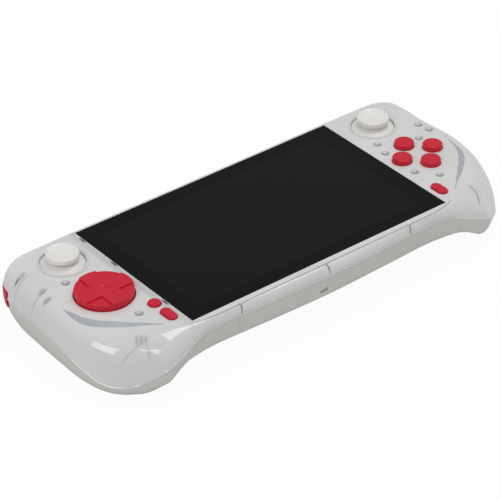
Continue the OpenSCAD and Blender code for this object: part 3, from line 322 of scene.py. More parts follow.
board, tree, shader, place = new_finish("solder_masked_laminate", Roughness=0.4, IOR=1.55)
fine = grain(tree, shader, place, 0.5, 0.01)
mottle(tree, shader, fine, "0F3B22", "15482B")

wrap, tree, shader, place = new_finish("battery_film", Roughness=0.35, IOR=1.5)
fine = grain(tree, shader, place, 2.0, 0.02)
mottle(tree, shader, fine, "1B1B20", "24242A")
print("hidden finishes:", steel.name, aluminium.name, board.name, wrap.name)

# %% [markdown]
# ## Piece helpers
# Every new piece is a bmesh in millimetres. One function moves it into the frame, makes its object, gives it
# its finish, says which body carries it and hides the CAD solids it stands for. Small helpers make the shapes
# that come again: a grid bent into a tube, a rod, a block, a stadium, a spun profile, and a Boolean cut.

# %% Finish a piece
made_pieces = []


def make_piece(name, bm, finish, body, nodes=(), sharp=32):
    """Moves a bmesh into the frame as a smooth-shaded object with sharp edges past an angle."""
    bmesh.ops.transform(bm, matrix=TO_FRAME, verts=bm.verts)
    mesh = bpy.data.meshes.new(name)
    bm.to_mesh(mesh)
    bm.free()
    mesh.materials.append(finish)
    mesh.shade_smooth()
    mesh.set_sharp_from_angle(angle=math.radians(sharp))
    piece = bpy.data.objects.new(name, mesh)
    bpy.context.scene.collection.objects.link(piece)
    piece.modifiers.new("flat faces stay flat", "WEIGHTED_NORMAL").keep_sharp = True
    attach(piece, body)
    if nodes:
        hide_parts(*nodes)
    made_pieces.append(piece)
    return piece


def outward(bm):
    """Merges doubles and turns all faces outwards."""
    bmesh.ops.remove_doubles(bm, verts=bm.verts, dist=0.001)
    bmesh.ops.recalc_face_normals(bm, faces=bm.faces)
    return bm


# %% Shapes that come again
def add_rod(bm, x, y, z0, z1, r0, r1=None, segments=64):
    """An upright rod or cone."""
    spot = Matrix.Translation((x, y, (z0 + z1) / 2))
    return bmesh.ops.create_cone(bm, cap_ends=True, segments=segments, radius1=r0,
        radius2=r0 if r1 is None else r1, depth=z1 - z0, matrix=spot)["verts"]


def add_block(bm, low, high):
    """A block between two corners."""
    low, high = Vector(low), Vector(high)
    spot = Matrix.Translation((low + high) / 2) @ Matrix.Diagonal(high - low).to_4x4()
    return bmesh.ops.create_cube(bm, size=1, matrix=spot)["verts"]


def add_stadium(bm, x, y, z0, z1, width, length, segments=48):
    """A rod pulled into a stadium along Y."""
    verts = add_rod(bm, 0, 0, z0, z1, width / 2, segments=segments)
    for v in verts:
        v.co.y += math.copysign((length - width) / 2, v.co.y)
    bmesh.ops.translate(bm, verts=verts, vec=(x, y, 0))
    return verts


def loft(bm, columns, rings, closed=True):
    """Bends a grid into a skin: each ring is a function that gives a point for a share of the way round."""
    grid = bmesh.ops.create_grid(bm, x_segments=columns, y_segments=len(rings) - 1, size=1)["verts"]
    for v in grid:
        share, ring = (v.co.x + 1) / 2, round((v.co.y + 1) / 2 * (len(rings) - 1))
        v.co = rings[ring](share)
    bmesh.ops.remove_doubles(bm, verts=grid, dist=0.001)
    if closed:
        bmesh.ops.holes_fill(bm, edges=[e for e in bm.edges if e.is_boundary], sides=0)
    return outward(bm)


def spun(bm, profile, x, y, steps=72):
    """Turns a profile of (radius, height) points once round an upright axis."""
    verts = [bm.verts.new((x + r, y, z)) for r, z in profile]
    edges = [bm.edges.new(pair) for pair in zip(verts, verts[1:])]
    bmesh.ops.spin(bm, geom=verts + edges, cent=(x, y, 0), axis=(0, 0, 1), angle=2 * math.pi,
        steps=steps, use_merge=True)
    return outward(bm)


def arc(r, z, radius, start, end, steps=6):
    """Points of a round corner about (r, z), from one angle to another in degrees."""
    angles = [math.radians(start + (end - start) * k / steps) for k in range(steps + 1)]
    return [(r + radius * math.cos(a), z + radius * math.sin(a)) for a in angles]


def soften(bm, offset, segments=3, angle=40, keep=lambda edge: True):
    """Rounds the edges that are sharper than an angle."""
    sharp = [e for e in bm.edges if e.is_manifold and e.calc_face_angle() > math.radians(angle) and keep(e)]
    bmesh.ops.bevel(bm, geom=sharp, offset=offset, offset_type="OFFSET", segments=segments, profile=0.5,
        affect="EDGES", clamp_overlap=True, material=-1)
    return bm


def carve(blank, cutter):
    """Cuts one bmesh out of another with an exact Boolean, and returns what is left."""
    objects = []
    for name, source in (("blank", blank), ("cutter", cutter)):
        mesh = bpy.data.meshes.new(name)
        source.to_mesh(mesh)
        source.free()
        objects.append(bpy.data.objects.new(name, mesh))
        bpy.context.scene.collection.objects.link(objects[-1])
    cut = objects[0].modifiers.new("cut", "BOOLEAN")
    cut.object, cut.operation, cut.solver, cut.use_self = objects[1], "DIFFERENCE", "EXACT", True
    left = bmesh.new()
    left.from_object(objects[0], bpy.context.evaluated_depsgraph_get())
    for used in objects:
        bpy.data.objects.remove(used)
    return left


# %% [markdown]
# ## Outline of the body
# Two closed curves shape the console. The parting line between the shells runs round the widest part and
# dips at the grips, which droop backwards. The plateau is the flat face round the screen and the controls.
# Half of each is given as a few points with a depth, mirrored, and joined by a smooth spline.

# %% Outline curves
TOP = GLASS_Y + 1.6
LOW = -(GLASS_Y + 7.4)
GRIP_LOW = LOW - 3
SIDE = GLASS_X + 56.35
MID_RIM_D, SIDE_RIM_D, GRIP_RIM_D = 6.0, 13.0, 26.5
CRESCENT, RIM_STEP = 1.8, 0.5
STEP_TOE, STEP_LEAN, STEP_FLARE = 0.3, 0.6, 0.77

rim_half = [
    (0, TOP, MID_RIM_D), (GLASS_X * 0.5, TOP, MID_RIM_D), (GLASS_X, TOP, MID_RIM_D + 1.6),
    (SIDE - 27.6, TOP, SIDE_RIM_D - 1), (SIDE - 15.6, TOP - 0.8, SIDE_RIM_D - 1),
    (SIDE - 6, TOP - 4.8, SIDE_RIM_D - 1), (SIDE - 1.8, TOP - 13.7, SIDE_RIM_D - 0.6),
    (SIDE - 0.8, TOP - 28.6, SIDE_RIM_D), (SIDE, GRIP_LOW + 64, SIDE_RIM_D + 0.8),
    (SIDE - 0.4, GRIP_LOW + 48, SIDE_RIM_D + 3.4), (SIDE - 2.3, GRIP_LOW + 36, GRIP_RIM_D - 5.5),
    (SIDE - 5.2, GRIP_LOW + 26.6, GRIP_RIM_D - 1.5), (SIDE - 8.7, GRIP_LOW + 20, GRIP_RIM_D),
    (SIDE - 13.6, GRIP_LOW + 14.2, GRIP_RIM_D), (SIDE - 19.6, GRIP_LOW + 9.6, GRIP_RIM_D - 1.5),
    (SIDE - 26.4, GRIP_LOW + 4.4, GRIP_RIM_D - 6), (SIDE - 34.2, GRIP_LOW, GRIP_RIM_D - 11.8),
    (GLASS_X + 12.4, LOW - 1.4, MID_RIM_D + 6), (GLASS_X + 4.6, LOW + 0.4, MID_RIM_D + 3),
    (GLASS_X - 4.2, LOW + 1.7, MID_RIM_D + 0.4), (GLASS_X - 18, LOW + 2.4, MID_RIM_D),
    (GLASS_X * 0.45, LOW + 1.1, MID_RIM_D), (0, LOW, MID_RIM_D)]
plateau_half = [
    (0, TOP - 0.6, 0.05), (GLASS_X * 0.5, TOP - 0.6, 0.05), (GLASS_X, TOP - 0.6, 0.05),
    (SIDE - 29.6, TOP - 0.7, 0.05), (SIDE - 18.6, TOP - 1.6, 0.05), (SIDE - 11, TOP - 7, 0.05),
    (SIDE - 11.5, TOP - 16, 0.05), (SIDE - 13, TOP - 31.5, 0.05), (SIDE - 10, GRIP_LOW + 63.3, 0.1),
    (SIDE - 11.8, GRIP_LOW + 55.5, CRESCENT * 0.75), (SIDE - 13.5, GRIP_LOW + 49, CRESCENT),
    (SIDE - 17.5, GRIP_LOW + 42.7, CRESCENT), (SIDE - 21.8, GRIP_LOW + 37.8, CRESCENT * 0.92),
    (SIDE - 26.4, GRIP_LOW + 33.2, CRESCENT * 0.84), (SIDE - 30.7, GRIP_LOW + 29, CRESCENT * 0.68),
    (SIDE - 34.8, GRIP_LOW + 25.2, CRESCENT * 0.48), (SIDE - 39.1, GRIP_LOW + 21, CRESCENT * 0.25),
    (GLASS_X + 9.4, LOW + 11.2, 0.2), (GLASS_X + 2.9, LOW + 7, 0.3), (GLASS_X - 5, LOW + 4.8, RIM_STEP * 0.9),
    (GLASS_X - 18, LOW + 4, RIM_STEP), (GLASS_X * 0.45, LOW + 4, RIM_STEP), (0, LOW + 4, RIM_STEP)]


def whole(half):
    """A closed list of points from its right half."""
    return [Vector(p) for p in half] + [Vector((-x, y, d)) for x, y, d in half[-2:0:-1]]


def curve_at(points, t):
    """Point of the smooth closed curve through the points, at a place counted in points."""
    i, f, n = math.floor(t), t - math.floor(t), len(points)
    a, b, c, d = (points[(i + k) % n] for k in (-1, 0, 1, 2))
    square, cube = 2 * a - 5 * b + 4 * c - d, 3 * b - a - 3 * c + d
    return 0.5 * (2 * b + (c - a) * f + square * f ** 2 + cube * f ** 3)


rim_loop, plateau_loop = whole(rim_half), whole(plateau_half)
LOOP = len(rim_loop)
COLUMNS = LOOP * 6
print("outline of", LOOP, "points, drawn with", COLUMNS, "columns")

# %% [markdown]
# ## Skins of the shells
# From the plateau the front skin drops over a small step, the line along the bottom and the crescents beside
# the grips, whose faces are darkened with painted shade, then rolls over to the parting line on a quarter
# ellipse. The rear skin rolls on to a floor that is flat behind the screen, deep behind the grips and has two
# raised pads.

# %% Skin formulas
WALL, SEAM, LIP = 2.0, 0.12, 0.4
SLAB_D, GRIP_D, UPPER_D = 21.5, 34.2, 26.0
MID_ROUND, SIDE_ROUND, GRIP_ROUND = 4.0, 10.0, 6.5
PAD_X, PAD_Y, PAD_RX, PAD_RY, PAD_FLAT, PAD_POWER = GLASS_X + 34, 8.0, 26.0, 44.0, 0.55, 2.5
WING_FROM, WING_OVER, WING_LOW, WING_SLANT, WING_LATE = GLASS_X - 10, 30, -24, 0.5, 18
DEEP_FROM, DEEP_OVER, ROUND_FROM, ROUND_OVER = TOP - 9, 30, 25, 35
SPINE = 60.0


def smooth(t):
    t = min(max(t, 0.0), 1.0)
    return t * t * (3 - 2 * t)


def rim_at(t):
    return curve_at(rim_loop, t).xy


def rim_depth(t):
    return curve_at(rim_loop, t).z


def outwards(t):
    """Unit direction out of the parting line, seen from above."""
    along = rim_at(t + 0.05) - rim_at(t - 0.05)
    return Vector((-along.y, along.x)).normalized()


def step_foot(t):
    edge = curve_at(plateau_loop, t)
    to_rim = rim_at(t) - edge.xy
    reach = STEP_TOE + edge.z * (STEP_LEAN + STEP_FLARE * edge.z)
    return edge.xy + to_rim.normalized() * min(reach, to_rim.length * 0.6)


def front_skin(t, u, inset=0.0):
    """Front skin at a share u of the way from the step's foot to the parting line."""
    foot, rim = (p - inset * outwards(t) for p in (step_foot(t), rim_at(t)))
    z0, z1 = -curve_at(plateau_loop, t).z - inset, -rim_depth(t)
    spot = foot.lerp(rim, math.sin(math.pi / 2 * u))
    return spot.to_3d() + Vector((0, 0, z0 + (z1 - z0) * (1 - math.cos(math.pi / 2 * u))))


def plateau(t, inset, z):
    return (curve_at(plateau_loop, t).xy - inset * outwards(t)).to_3d() + Vector((0, 0, z))


def wing(p):
    """0 behind the screen, 1 behind the grips."""
    late = min(max(WING_SLANT * (WING_LOW - p.y), 0), WING_LATE)
    return smooth((abs(p.x) - WING_FROM - late) / WING_OVER)


def rear_depth(p):
    """Depth of the rear surface below the front face."""
    across, along = abs(abs(p.x) - PAD_X) / PAD_RX, abs(p.y - PAD_Y) / PAD_RY
    reach = (across ** PAD_POWER + along ** PAD_POWER) ** (1 / PAD_POWER)
    deep = UPPER_D + (GRIP_D - UPPER_D) * smooth((DEEP_FROM - p.y) / DEEP_OVER)
    base = SLAB_D + (deep - SLAB_D) * wing(p)
    return base + (BODY_D - base) * (1 - smooth((reach - PAD_FLAT) / (1 - PAD_FLAT)))


def rounding(t):
    """Radius of the rear skin's turn: small behind the screen, large beside it, less at the grips."""
    rim = rim_at(t)
    beside = GRIP_ROUND + (SIDE_ROUND - GRIP_ROUND) * smooth((rim.y - GRIP_LOW - ROUND_FROM) / ROUND_OVER)
    return MID_ROUND + (beside - MID_ROUND) * wing(rim)


def rear_edge(t):
    return rim_at(t) - (rounding(t) + LIP) * outwards(t)


def rear_skin(t, v, inset=0.0):
    """Rear skin at a share v of the way from the parting line to the rear surface."""
    z0, z1 = -rim_depth(t) - SEAM, -rear_depth(rear_edge(t)) + inset
    back = LIP + inset + (rounding(t) - inset) * (1 - math.cos(math.pi / 2 * v))
    height = z0 + (z1 - z0) * math.sin(math.pi / 2 * v)
    return (rim_at(t) - back * outwards(t)).to_3d() + Vector((0, 0, height))


def rear_floor(t, s, inset=0.0):
    """Rear surface at a share s of the way from the spine to its edge."""
    edge = rear_edge(t)
    spine = Vector((min(max(edge.x, -SPINE), SPINE), 0))
    spot = spine.lerp(edge, s)
    return spot.to_3d() + Vector((0, 0, inset - rear_depth(spot)))


grip_back, slab_back = rear_depth(Vector((122, -30))), rear_depth(Vector((0, 0)))
print(f"grips reach {grip_back:.1f} mm back, the slab {slab_back:.1f} mm")

# %% [markdown]
# ## Front cover
# The cover is one thin moulding. Its outside and inside are lofted as one closed skin, and the pocket for the
# glass, the holes for the controls and the slots for the bumpers are cut out of it. A Boolean cut keeps the
# curved skin as it is, and the cut edges on the plateau are then rounded so that they catch the light.

# %% Openings of the front cover
DPAD_R, DPAD_GAP, FACE_R, FACE_REACH, GAP = 16.25, 0.55, 5.75, 11.5, 0.25
STICK_HOLE_R = 13.0
SMALL_X, SMALL_Y, SMALL_R = 95.0, -28.0, 3.6
OVAL_Y, OVAL_W, OVAL_L = -40.5, 6.0, 11.3
BUMPER_Z0, BUMPER_Z1, BUMPER_T, BUMPER_ROOM = 8.6, 18.7, 4.5, 2.5
BUMPER_FROM, BUMPER_TO = 2.22, 6.0
SLOT_FROM, SLOT_TO, SLOT_STEPS, SLOT_OUT = BUMPER_FROM - 0.03, BUMPER_TO + 0.14, 27, 6
PIN_X, PIN_Y, EAR_R, EAR_ROOM = GLASS_X + 8.5, TOP - 6.2, 2.8, 0.6
SHOULDER_GAP = 0.3
MIC_X, MIC_Y, MIC_R = GLASS_X + 5.4, -GLASS_Y + 25.4, 0.5
CUT_LOW, CUT_HIGH = -4, 5
face_spots = {name: (STICK_X + FACE_REACH * x, FACE_Y + FACE_REACH * y)
    for name, x, y in (("north", 0, 1), ("east", 1, 0), ("south", 0, -1), ("west", -1, 0))}


def add_prism(bm, points, length):
    """A prism: a face on some points, extruded along a vector."""
    base = bm.faces.new([bm.verts.new(p) for p in points])
    walls = bmesh.ops.extrude_face_region(bm, geom=[base])["geom"]
    ends = [v for v in walls if isinstance(v, bmesh.types.BMVert)]
    bmesh.ops.translate(bm, vec=length, verts=ends)


def add_bumper_slots(bm):
    """The slots that the bumpers move in, on both sides."""
    places = [SLOT_FROM + (SLOT_TO - SLOT_FROM) * k / SLOT_STEPS for k in range(SLOT_STEPS + 1)]
    inner = [rim_at(t) - (BUMPER_T + BUMPER_ROOM) * outwards(t) for t in places]
    outer = [rim_at(t) + SLOT_OUT * outwards(t) for t in reversed(places)]
    z0, z1 = -BUMPER_Z1 - SHOULDER_GAP, -BUMPER_Z0 + SHOULDER_GAP
    for side in (1, -1):
        add_prism(bm, [(side * p.x, p.y, z0) for p in inner + outer], (0, 0, z1 - z0))
        add_rod(bm, side * PIN_X, PIN_Y, z0, z1, EAR_R + EAR_ROOM)


openings = bmesh.new()
POCKET_D, POCKET_GAP, WINDOW_X, WINDOW_Y = 1.5, 0.15, 82.5, 49.0
pocket_x, pocket_y = GLASS_X + POCKET_GAP, GLASS_Y + POCKET_GAP
add_block(openings, (-pocket_x, -pocket_y, -POCKET_D), (pocket_x, pocket_y, CUT_HIGH))
add_block(openings, (-WINDOW_X, -WINDOW_Y, -5), (WINDOW_X, WINDOW_Y, 4))
for side in (1, -1):
    add_rod(openings, side * STICK_X, STICK_Y, CUT_LOW, CUT_HIGH, STICK_HOLE_R, segments=96)
    add_stadium(openings, side * SMALL_X, OVAL_Y, CUT_LOW, CUT_HIGH, OVAL_W + 2 * GAP, OVAL_L + 2 * GAP)
add_rod(openings, -STICK_X, DPAD_Y, CUT_LOW, CUT_HIGH, DPAD_R + DPAD_GAP, segments=96)
add_rod(openings, -SMALL_X, SMALL_Y, CUT_LOW, CUT_HIGH, SMALL_R + GAP)
add_rod(openings, MIC_X, MIC_Y, CUT_LOW, CUT_HIGH, MIC_R, segments=24)
for x, y in face_spots.values():
    add_rod(openings, x, y, CUT_LOW, CUT_HIGH, FACE_R + GAP)
add_bumper_slots(openings)
outward(openings)
print("front openings:", len(openings.faces), "faces")


# %% Front cover
def ring(point, *rest):
    """A ring of a loft: a formula's point at a share of the way round."""
    return lambda share: point(share * LOOP, *rest)


BEAD, GROOVE = 0.35, 0.15


def bead(t, out, up):
    """The rim of the cover, moved out and up a little."""
    return (rim_at(t) + out * outwards(t)).to_3d() + Vector((0, 0, up - rim_depth(t)))


front_rings = [ring(plateau, 2.0, 0.0), ring(plateau, 0.0, 0.0)]
front_rings += [ring(front_skin, k / 12) for k in range(11)]
front_rings += [ring(front_skin, 0.875), ring(front_skin, 0.89, GROOVE)]
front_rings += [ring(front_skin, 0.905), ring(front_skin, 0.96)]
front_rings += [ring(bead, 0.0, 2 * BEAD), ring(bead, BEAD, BEAD), ring(bead, BEAD, 0.0)]
front_rings += [ring(front_skin, k / 5, WALL) for k in range(5, -1, -1)]
front_rings += [ring(plateau, WALL + 0.5, -WALL)]
cover = carve(loft(bmesh.new(), COLUMNS, front_rings), openings)
soften(cover, 0.25, 2, 50, keep=lambda e: all(abs(v.co.z) < 0.005 for v in e.verts))
# Step faces that fall more than CRESCENT_FROM from the plateau get the finish of painted shade.
CRESCENT_FROM, STEP_UP = 0.3, 0.3
for face in cover.faces:
    heights = [v.co.z for v in face.verts]
    from_plateau, down = max(heights) > -0.01, min(heights) < -CRESCENT_FROM
    face.material_index = int(from_plateau and down and face.normal.z > STEP_UP)
front = make_piece("milky_front_cover", cover, milky, "console", ["front_shell"])
front.data.materials.append(milky_step_shade)
print("front cover:", len(front.data.polygons), "faces")

# %% Collars of the sticks
COLLAR_W, COLLAR_H, COLLAR_LOW, COLLAR_ROUND = 1.3, 0.5, -0.3, 0.3
for name, side in (("left", -1), ("right", 1)):
    inside, outside = STICK_HOLE_R, STICK_HOLE_R + COLLAR_W
    profile = [(inside, COLLAR_LOW)]
    profile += arc(inside + COLLAR_ROUND, COLLAR_H - COLLAR_ROUND, COLLAR_ROUND, 180, 90)
    profile += arc(outside - COLLAR_ROUND, COLLAR_H - COLLAR_ROUND, COLLAR_ROUND, 90, 0)
    profile += [(outside, COLLAR_LOW), (inside, COLLAR_LOW)]
    collar = spun(bmesh.new(), profile, side * STICK_X, STICK_Y, 96)
    make_piece(f"{name}_stick_collar", collar, milky, "console")
print("stick collars of", 2 * STICK_HOLE_R, "mm bore")

# %% Wells under the sticks
WELL_FLOOR, WELL_IN_R, WELL_R, WELL_WALL_T, WELL_FLOOR_T, WELL_GAP = -6.6, 9.4, 14.2, 0.4, 0.3, 0.02
for name, side in (("left", -1), ("right", 1)):
    inner, outer = -WALL - WELL_GAP, -WALL - WELL_GAP / 2
    profile = [(STICK_HOLE_R, inner), (WELL_R, inner), (WELL_R, WELL_FLOOR), (WELL_IN_R, WELL_FLOOR)]
    profile += [(WELL_IN_R, WELL_FLOOR - WELL_FLOOR_T), (WELL_R + WELL_WALL_T, WELL_FLOOR - WELL_FLOOR_T)]
    profile += [(WELL_R + WELL_WALL_T, outer), (STICK_HOLE_R, outer)]
    well = spun(bmesh.new(), profile, side * STICK_X, STICK_Y, 96)
    make_piece(f"{name}_stick_well", well, milky_well, "console")
print("stick wells", -WELL_FLOOR, "mm deep")

# %% [markdown]
# ## Rear case
# The rear case is a deep tray. It is made as it is moulded: an outer skin, less an inner skin that leaves
# out the boxes behind the triggers, less the openings for shoulders, ports, keys, speakers and screws.

# %% Openings of the rear case
TRIGGER_X0, TRIGGER_X1 = GLASS_X + 11.5, GLASS_X + 46
TRIGGER_GAP, WELL_WALL, WELL_Y0, WELL_ROOF_D = 0.8, 1.5, TOP - 19.2, 20.2
shell_screw_spots = [(GLASS_X - 0.35, GLASS_Y - 10.6), (GLASS_X - 0.35, -GLASS_Y + 5.6),
    (GLASS_X + 27.4, GRIP_LOW + 19)]
SCREW_HEAD_R, SCREW_HEAD_H, SCREW_GAP = 2.2, 1.0, 0.2
SPEAKER_X, SPEAKER_Y = GLASS_X + 31.35, GRIP_LOW + 27
SLIT_PITCH, SLIT_W, SLIT_L = 3, 1.4, 7.0
TOP_CUT = (TOP - 6, TOP + 5)
PORT_GAP, READER_IN = 0.2, 0.6
NOTCH_X, NOTCH_W, NOTCH_D, NOTCH_H = -4.0, 5.5, 15.0, 2.5
KEY_D, KEY_H = 11.5, 3.0
# each key: x, width and how far its seat lies behind the top edge
keys = {"power_button": (-18.0, 9.0, 3.3), "volume_rocker": (-45.0, 20.0, 3.7)}


def add_wells(bm, grow):
    """The boxes that the triggers swing in, on both sides."""
    for side in (1, -1):
        ends = sorted(side * x for x in (TRIGGER_X0 - TRIGGER_GAP - grow, TRIGGER_X1 + TRIGGER_GAP + grow))
        add_block(bm, (ends[0], WELL_Y0 - grow, -BODY_D - 8), (ends[1], TOP + 10, -WELL_ROOF_D + grow))


def add_level_rod(bm, x, y0, y1, z, r):
    """A rod along Y."""
    verts = add_rod(bm, 0, 0, y0, y1, r, segments=48)
    level = Matrix.Translation((x, 0, z)) @ Matrix.Rotation(-math.pi / 2, 4, "X")
    bmesh.ops.transform(bm, verts=verts, matrix=level)


holes = bmesh.new()
add_bumper_slots(holes)
add_wells(holes, 0)
for side in (1, -1):
    for k in range(-2, 3):
        x = side * SPEAKER_X + SLIT_PITCH * k
        add_stadium(holes, x, SPEAKER_Y, -BODY_D - 4, -BODY_D + 6, SLIT_W, SLIT_L)
    for x, y in shell_screw_spots:
        surface = rear_depth(Vector((x, y)))
        add_rod(holes, side * x, y, -BODY_D - 3, -surface + SCREW_HEAD_H, SCREW_HEAD_R + SCREW_GAP)
for node, grow in (("charging_port", PORT_GAP), ("card_reader", -READER_IN)):
    low, high = local_box(node)
    add_block(holes, (low.x - grow, TOP_CUT[0], low.z - grow), (high.x + grow, TOP_CUT[1], high.z + grow))
jack_low, jack_high = local_box("headphone_jack")
JACK_R = (jack_high.z - jack_low.z) / 2
jack = (jack_low + jack_high) / 2
add_level_rod(holes, jack.x, *TOP_CUT, jack.z, JACK_R + PORT_GAP)
for x, width, _ in keys.values():
    across, up = width / 2 + GAP, KEY_H / 2 + GAP
    add_block(holes, (x - across, TOP_CUT[0], -KEY_D - up), (x + across, TOP_CUT[1], -KEY_D + up))
across, up = NOTCH_W / 2, NOTCH_H / 2
add_block(holes, (NOTCH_X - across, LOW - 5, -NOTCH_D - up), (NOTCH_X + across, LOW + 2.6, -NOTCH_D + up))
outward(holes)
print("rear openings:", len(holes.faces), "faces")


# %% Rear case
def tip(z):
    """A ring that closes a loft in one point."""
    return lambda share: Vector((0, 0, z))


def mouth(t):
    return rear_skin(t, 0, WALL) + Vector((0, 0, MOUTH_LIFT))


MOUTH_LIFT, OUTER_LID, INNER_LID, FLOOR_REACH = 3, -14, -11, 0.86
outer_rings = [tip(OUTER_LID)] + [ring(rear_skin, k / 12) for k in range(13)]
outer_rings += [ring(rear_floor, 1 - FLOOR_REACH * k / 24) for k in range(1, 25)]
outer_rings += [tip(-SLAB_D)]
inner_rings = [tip(INNER_LID), ring(mouth)] + [ring(rear_skin, k / 5, WALL) for k in range(6)]
inner_rings += [ring(rear_floor, 1 - FLOOR_REACH * k / 10, WALL) for k in range(1, 11)]
inner_rings += [tip(-SLAB_D + WALL)]
wells = bmesh.new()
add_wells(wells, WELL_WALL)
hollow = carve(loft(bmesh.new(), COLUMNS, inner_rings, closed=False), outward(wells))
tray = carve(loft(bmesh.new(), COLUMNS, outer_rings, closed=False), hollow)
tray = carve(tray, holes)
rear = make_piece("grained_rear_case", tray, rear_abs, "console", ["rear_shell"])
print("rear case:", len(rear.data.polygons), "faces")

# %% [markdown]
# ## Screen
# The cover glass is a plain sheet with its edges ground to a small chamfer.

# %% Screen glass
sheet = bmesh.new()
add_block(sheet, (-GLASS_X, -GLASS_Y, -GLASS_T), (GLASS_X, GLASS_Y, 0))
soften(sheet, 0.3, 2)
make_piece("screen_glass", sheet, cover_glass, "console", ["cover_glass"])
print("screen glass", GLASS_T, "mm thick")

# %% [markdown]
# ## Thumb sticks
# A cap is one profile, spun about its axis: a dished top with a round lip, a short neck, a skirt that hides
# the mechanism, and the socket for the post underneath.

# %% Thumb caps
CAP_R, CAP_TOP, CAP_EDGE, CAP_DISH, CAP_T = 9.5, 6.9, 1.5, 1.1, 3.4
NECK_R, SKIRT_R, SKIRT_TOP, SKIRT_LOW = 5.0, 12.2, 2.2, -1.2
CAP_UNDER, SKIRT_EDGE, SKIRT_WALL, SKIRT_DROP = 0.6, 0.6, 0.9, 1.0
POST_R, POST_END, SOCKET_R, SOCKET_LOW = 1.66, 2.6, 3.2, -3.0
flat_r = CAP_R - CAP_EDGE
profile = [(flat_r * k / 12, CAP_TOP - CAP_DISH * (1 - (k / 12) ** 4)) for k in range(12)]
profile += arc(flat_r, CAP_TOP - CAP_EDGE, CAP_EDGE, 90, 0, 8)
profile += [(CAP_R, CAP_TOP - CAP_T + CAP_UNDER)]
profile += arc(CAP_R - CAP_UNDER, CAP_TOP - CAP_T + CAP_UNDER, CAP_UNDER, 0, -90, 4)
profile += [(NECK_R + CAP_UNDER, CAP_TOP - CAP_T)]
fall = SKIRT_LOW + SKIRT_EDGE - SKIRT_TOP
skirt = [(NECK_R + (SKIRT_R - NECK_R) * k / 12, SKIRT_TOP + fall * (k / 12) ** 2) for k in range(13)]
inside = [(r - SKIRT_WALL, z - SKIRT_DROP) for r, z in reversed(skirt)]
profile += skirt + [(SKIRT_R, SKIRT_LOW)] + inside
profile += [(SOCKET_R, inside[-1][1]), (SOCKET_R, SOCKET_LOW), (POST_R, SOCKET_LOW)]
profile += [(POST_R, POST_END), (0, POST_END)]
for name, side in (("left", -1), ("right", 1)):
    cap = spun(bmesh.new(), profile, side * STICK_X, STICK_Y, 96)
    body = f"{name}_stick_cap"
    make_piece(f"{name}_thumb_cap", cap, white_abs, body, [body])
print("thumb caps", 2 * CAP_R, "mm across")

# %% [markdown]
# ## Direction pad
# A disc with a raised cross: four corners between the arms are sunk a little, and the middle has a dimple
# for the thumb. The corners and the dimple are cut from the disc and the edges are then rounded.

# %% Direction pad
DPAD_TOP, DPAD_BOTTOM, DPAD_RECESS, ARM_HALF = 4.0, -2.5, 0.8, 5.5
DIMPLE_R, DIMPLE_DEEP, CORNER_FAR, CORNER_TOP = 8.0, 0.7, 20, 9
STEM_R, STEM_LOW = 3.0, -3.4
disc = bmesh.new()
add_rod(disc, -STICK_X, DPAD_Y, DPAD_BOTTOM, DPAD_TOP, DPAD_R, segments=128)
sunk = bmesh.new()
for x in (-1, 1):
    for y in (-1, 1):
        xs = sorted(x * reach - STICK_X for reach in (ARM_HALF, CORNER_FAR))
        ys = sorted(y * reach + DPAD_Y for reach in (ARM_HALF, CORNER_FAR))
        add_block(sunk, (xs[0], ys[0], DPAD_TOP - DPAD_RECESS), (xs[1], ys[1], CORNER_TOP))
bmesh.ops.create_uvsphere(sunk, u_segments=64, v_segments=96, radius=DIMPLE_R,
    matrix=Matrix.Translation((-STICK_X, DPAD_Y, DPAD_TOP + DIMPLE_R - DIMPLE_DEEP)))
pad = soften(carve(disc, outward(sunk)), 0.35, 3, 35)
add_rod(pad, -STICK_X, DPAD_Y, STEM_LOW, DPAD_BOTTOM, STEM_R)
make_piece("direction_pad", pad, red_abs, "dpad_cap", ["dpad_cap"])
print("direction pad", 2 * DPAD_R, "mm across")

# %% [markdown]
# ## Buttons
# Each button is a short rod with a flange under the cover. The top edge is rounded by a bevel, and the top
# face is lifted a little in the middle, so that it is crowned as a moulded key is.

# %% Buttons
FACE_TOP, SMALL_TOP, BUTTON_LOW, FLANGE_TOP = 2.9, 1.2, -3.3, -2.3
FACE_EDGE, FACE_RISE, FACE_FLANGE = 0.9, 0.12, 1.2
SMALL_EDGE, SMALL_RISE, SMALL_FLANGE = 0.6, 0.08, 0.7


def crown(bm, top, edge, rise):
    """Rounds the top edge of a button and lifts the middle of its top face."""
    rim = [e for e in bm.edges if all(abs(v.co.z - top) < 1e-4 for v in e.verts)]
    bmesh.ops.bevel(bm, geom=rim, offset=edge, offset_type="OFFSET", segments=5, profile=0.5, affect="EDGES",
        clamp_overlap=True, material=-1)
    face = [f for f in bm.faces if all(abs(v.co.z - top) < 1e-4 for v in f.verts)]
    for share in (0.35, 0.65, 1.0):
        bmesh.ops.inset_region(bm, faces=face, thickness=edge * 1.1, use_even_offset=True)
        for v in face[0].verts:
            v.co.z = top + rise * share
    return bm


for name, (x, y) in face_spots.items():
    button = bmesh.new()
    add_rod(button, x, y, FLANGE_TOP, FACE_TOP, FACE_R)
    crown(button, FACE_TOP, FACE_EDGE, FACE_RISE)
    add_rod(button, x, y, BUTTON_LOW, FLANGE_TOP, FACE_R + FACE_FLANGE)
    make_piece(f"{name}_face_key", button, red_abs, f"{name}_button", [f"{name}_button"])

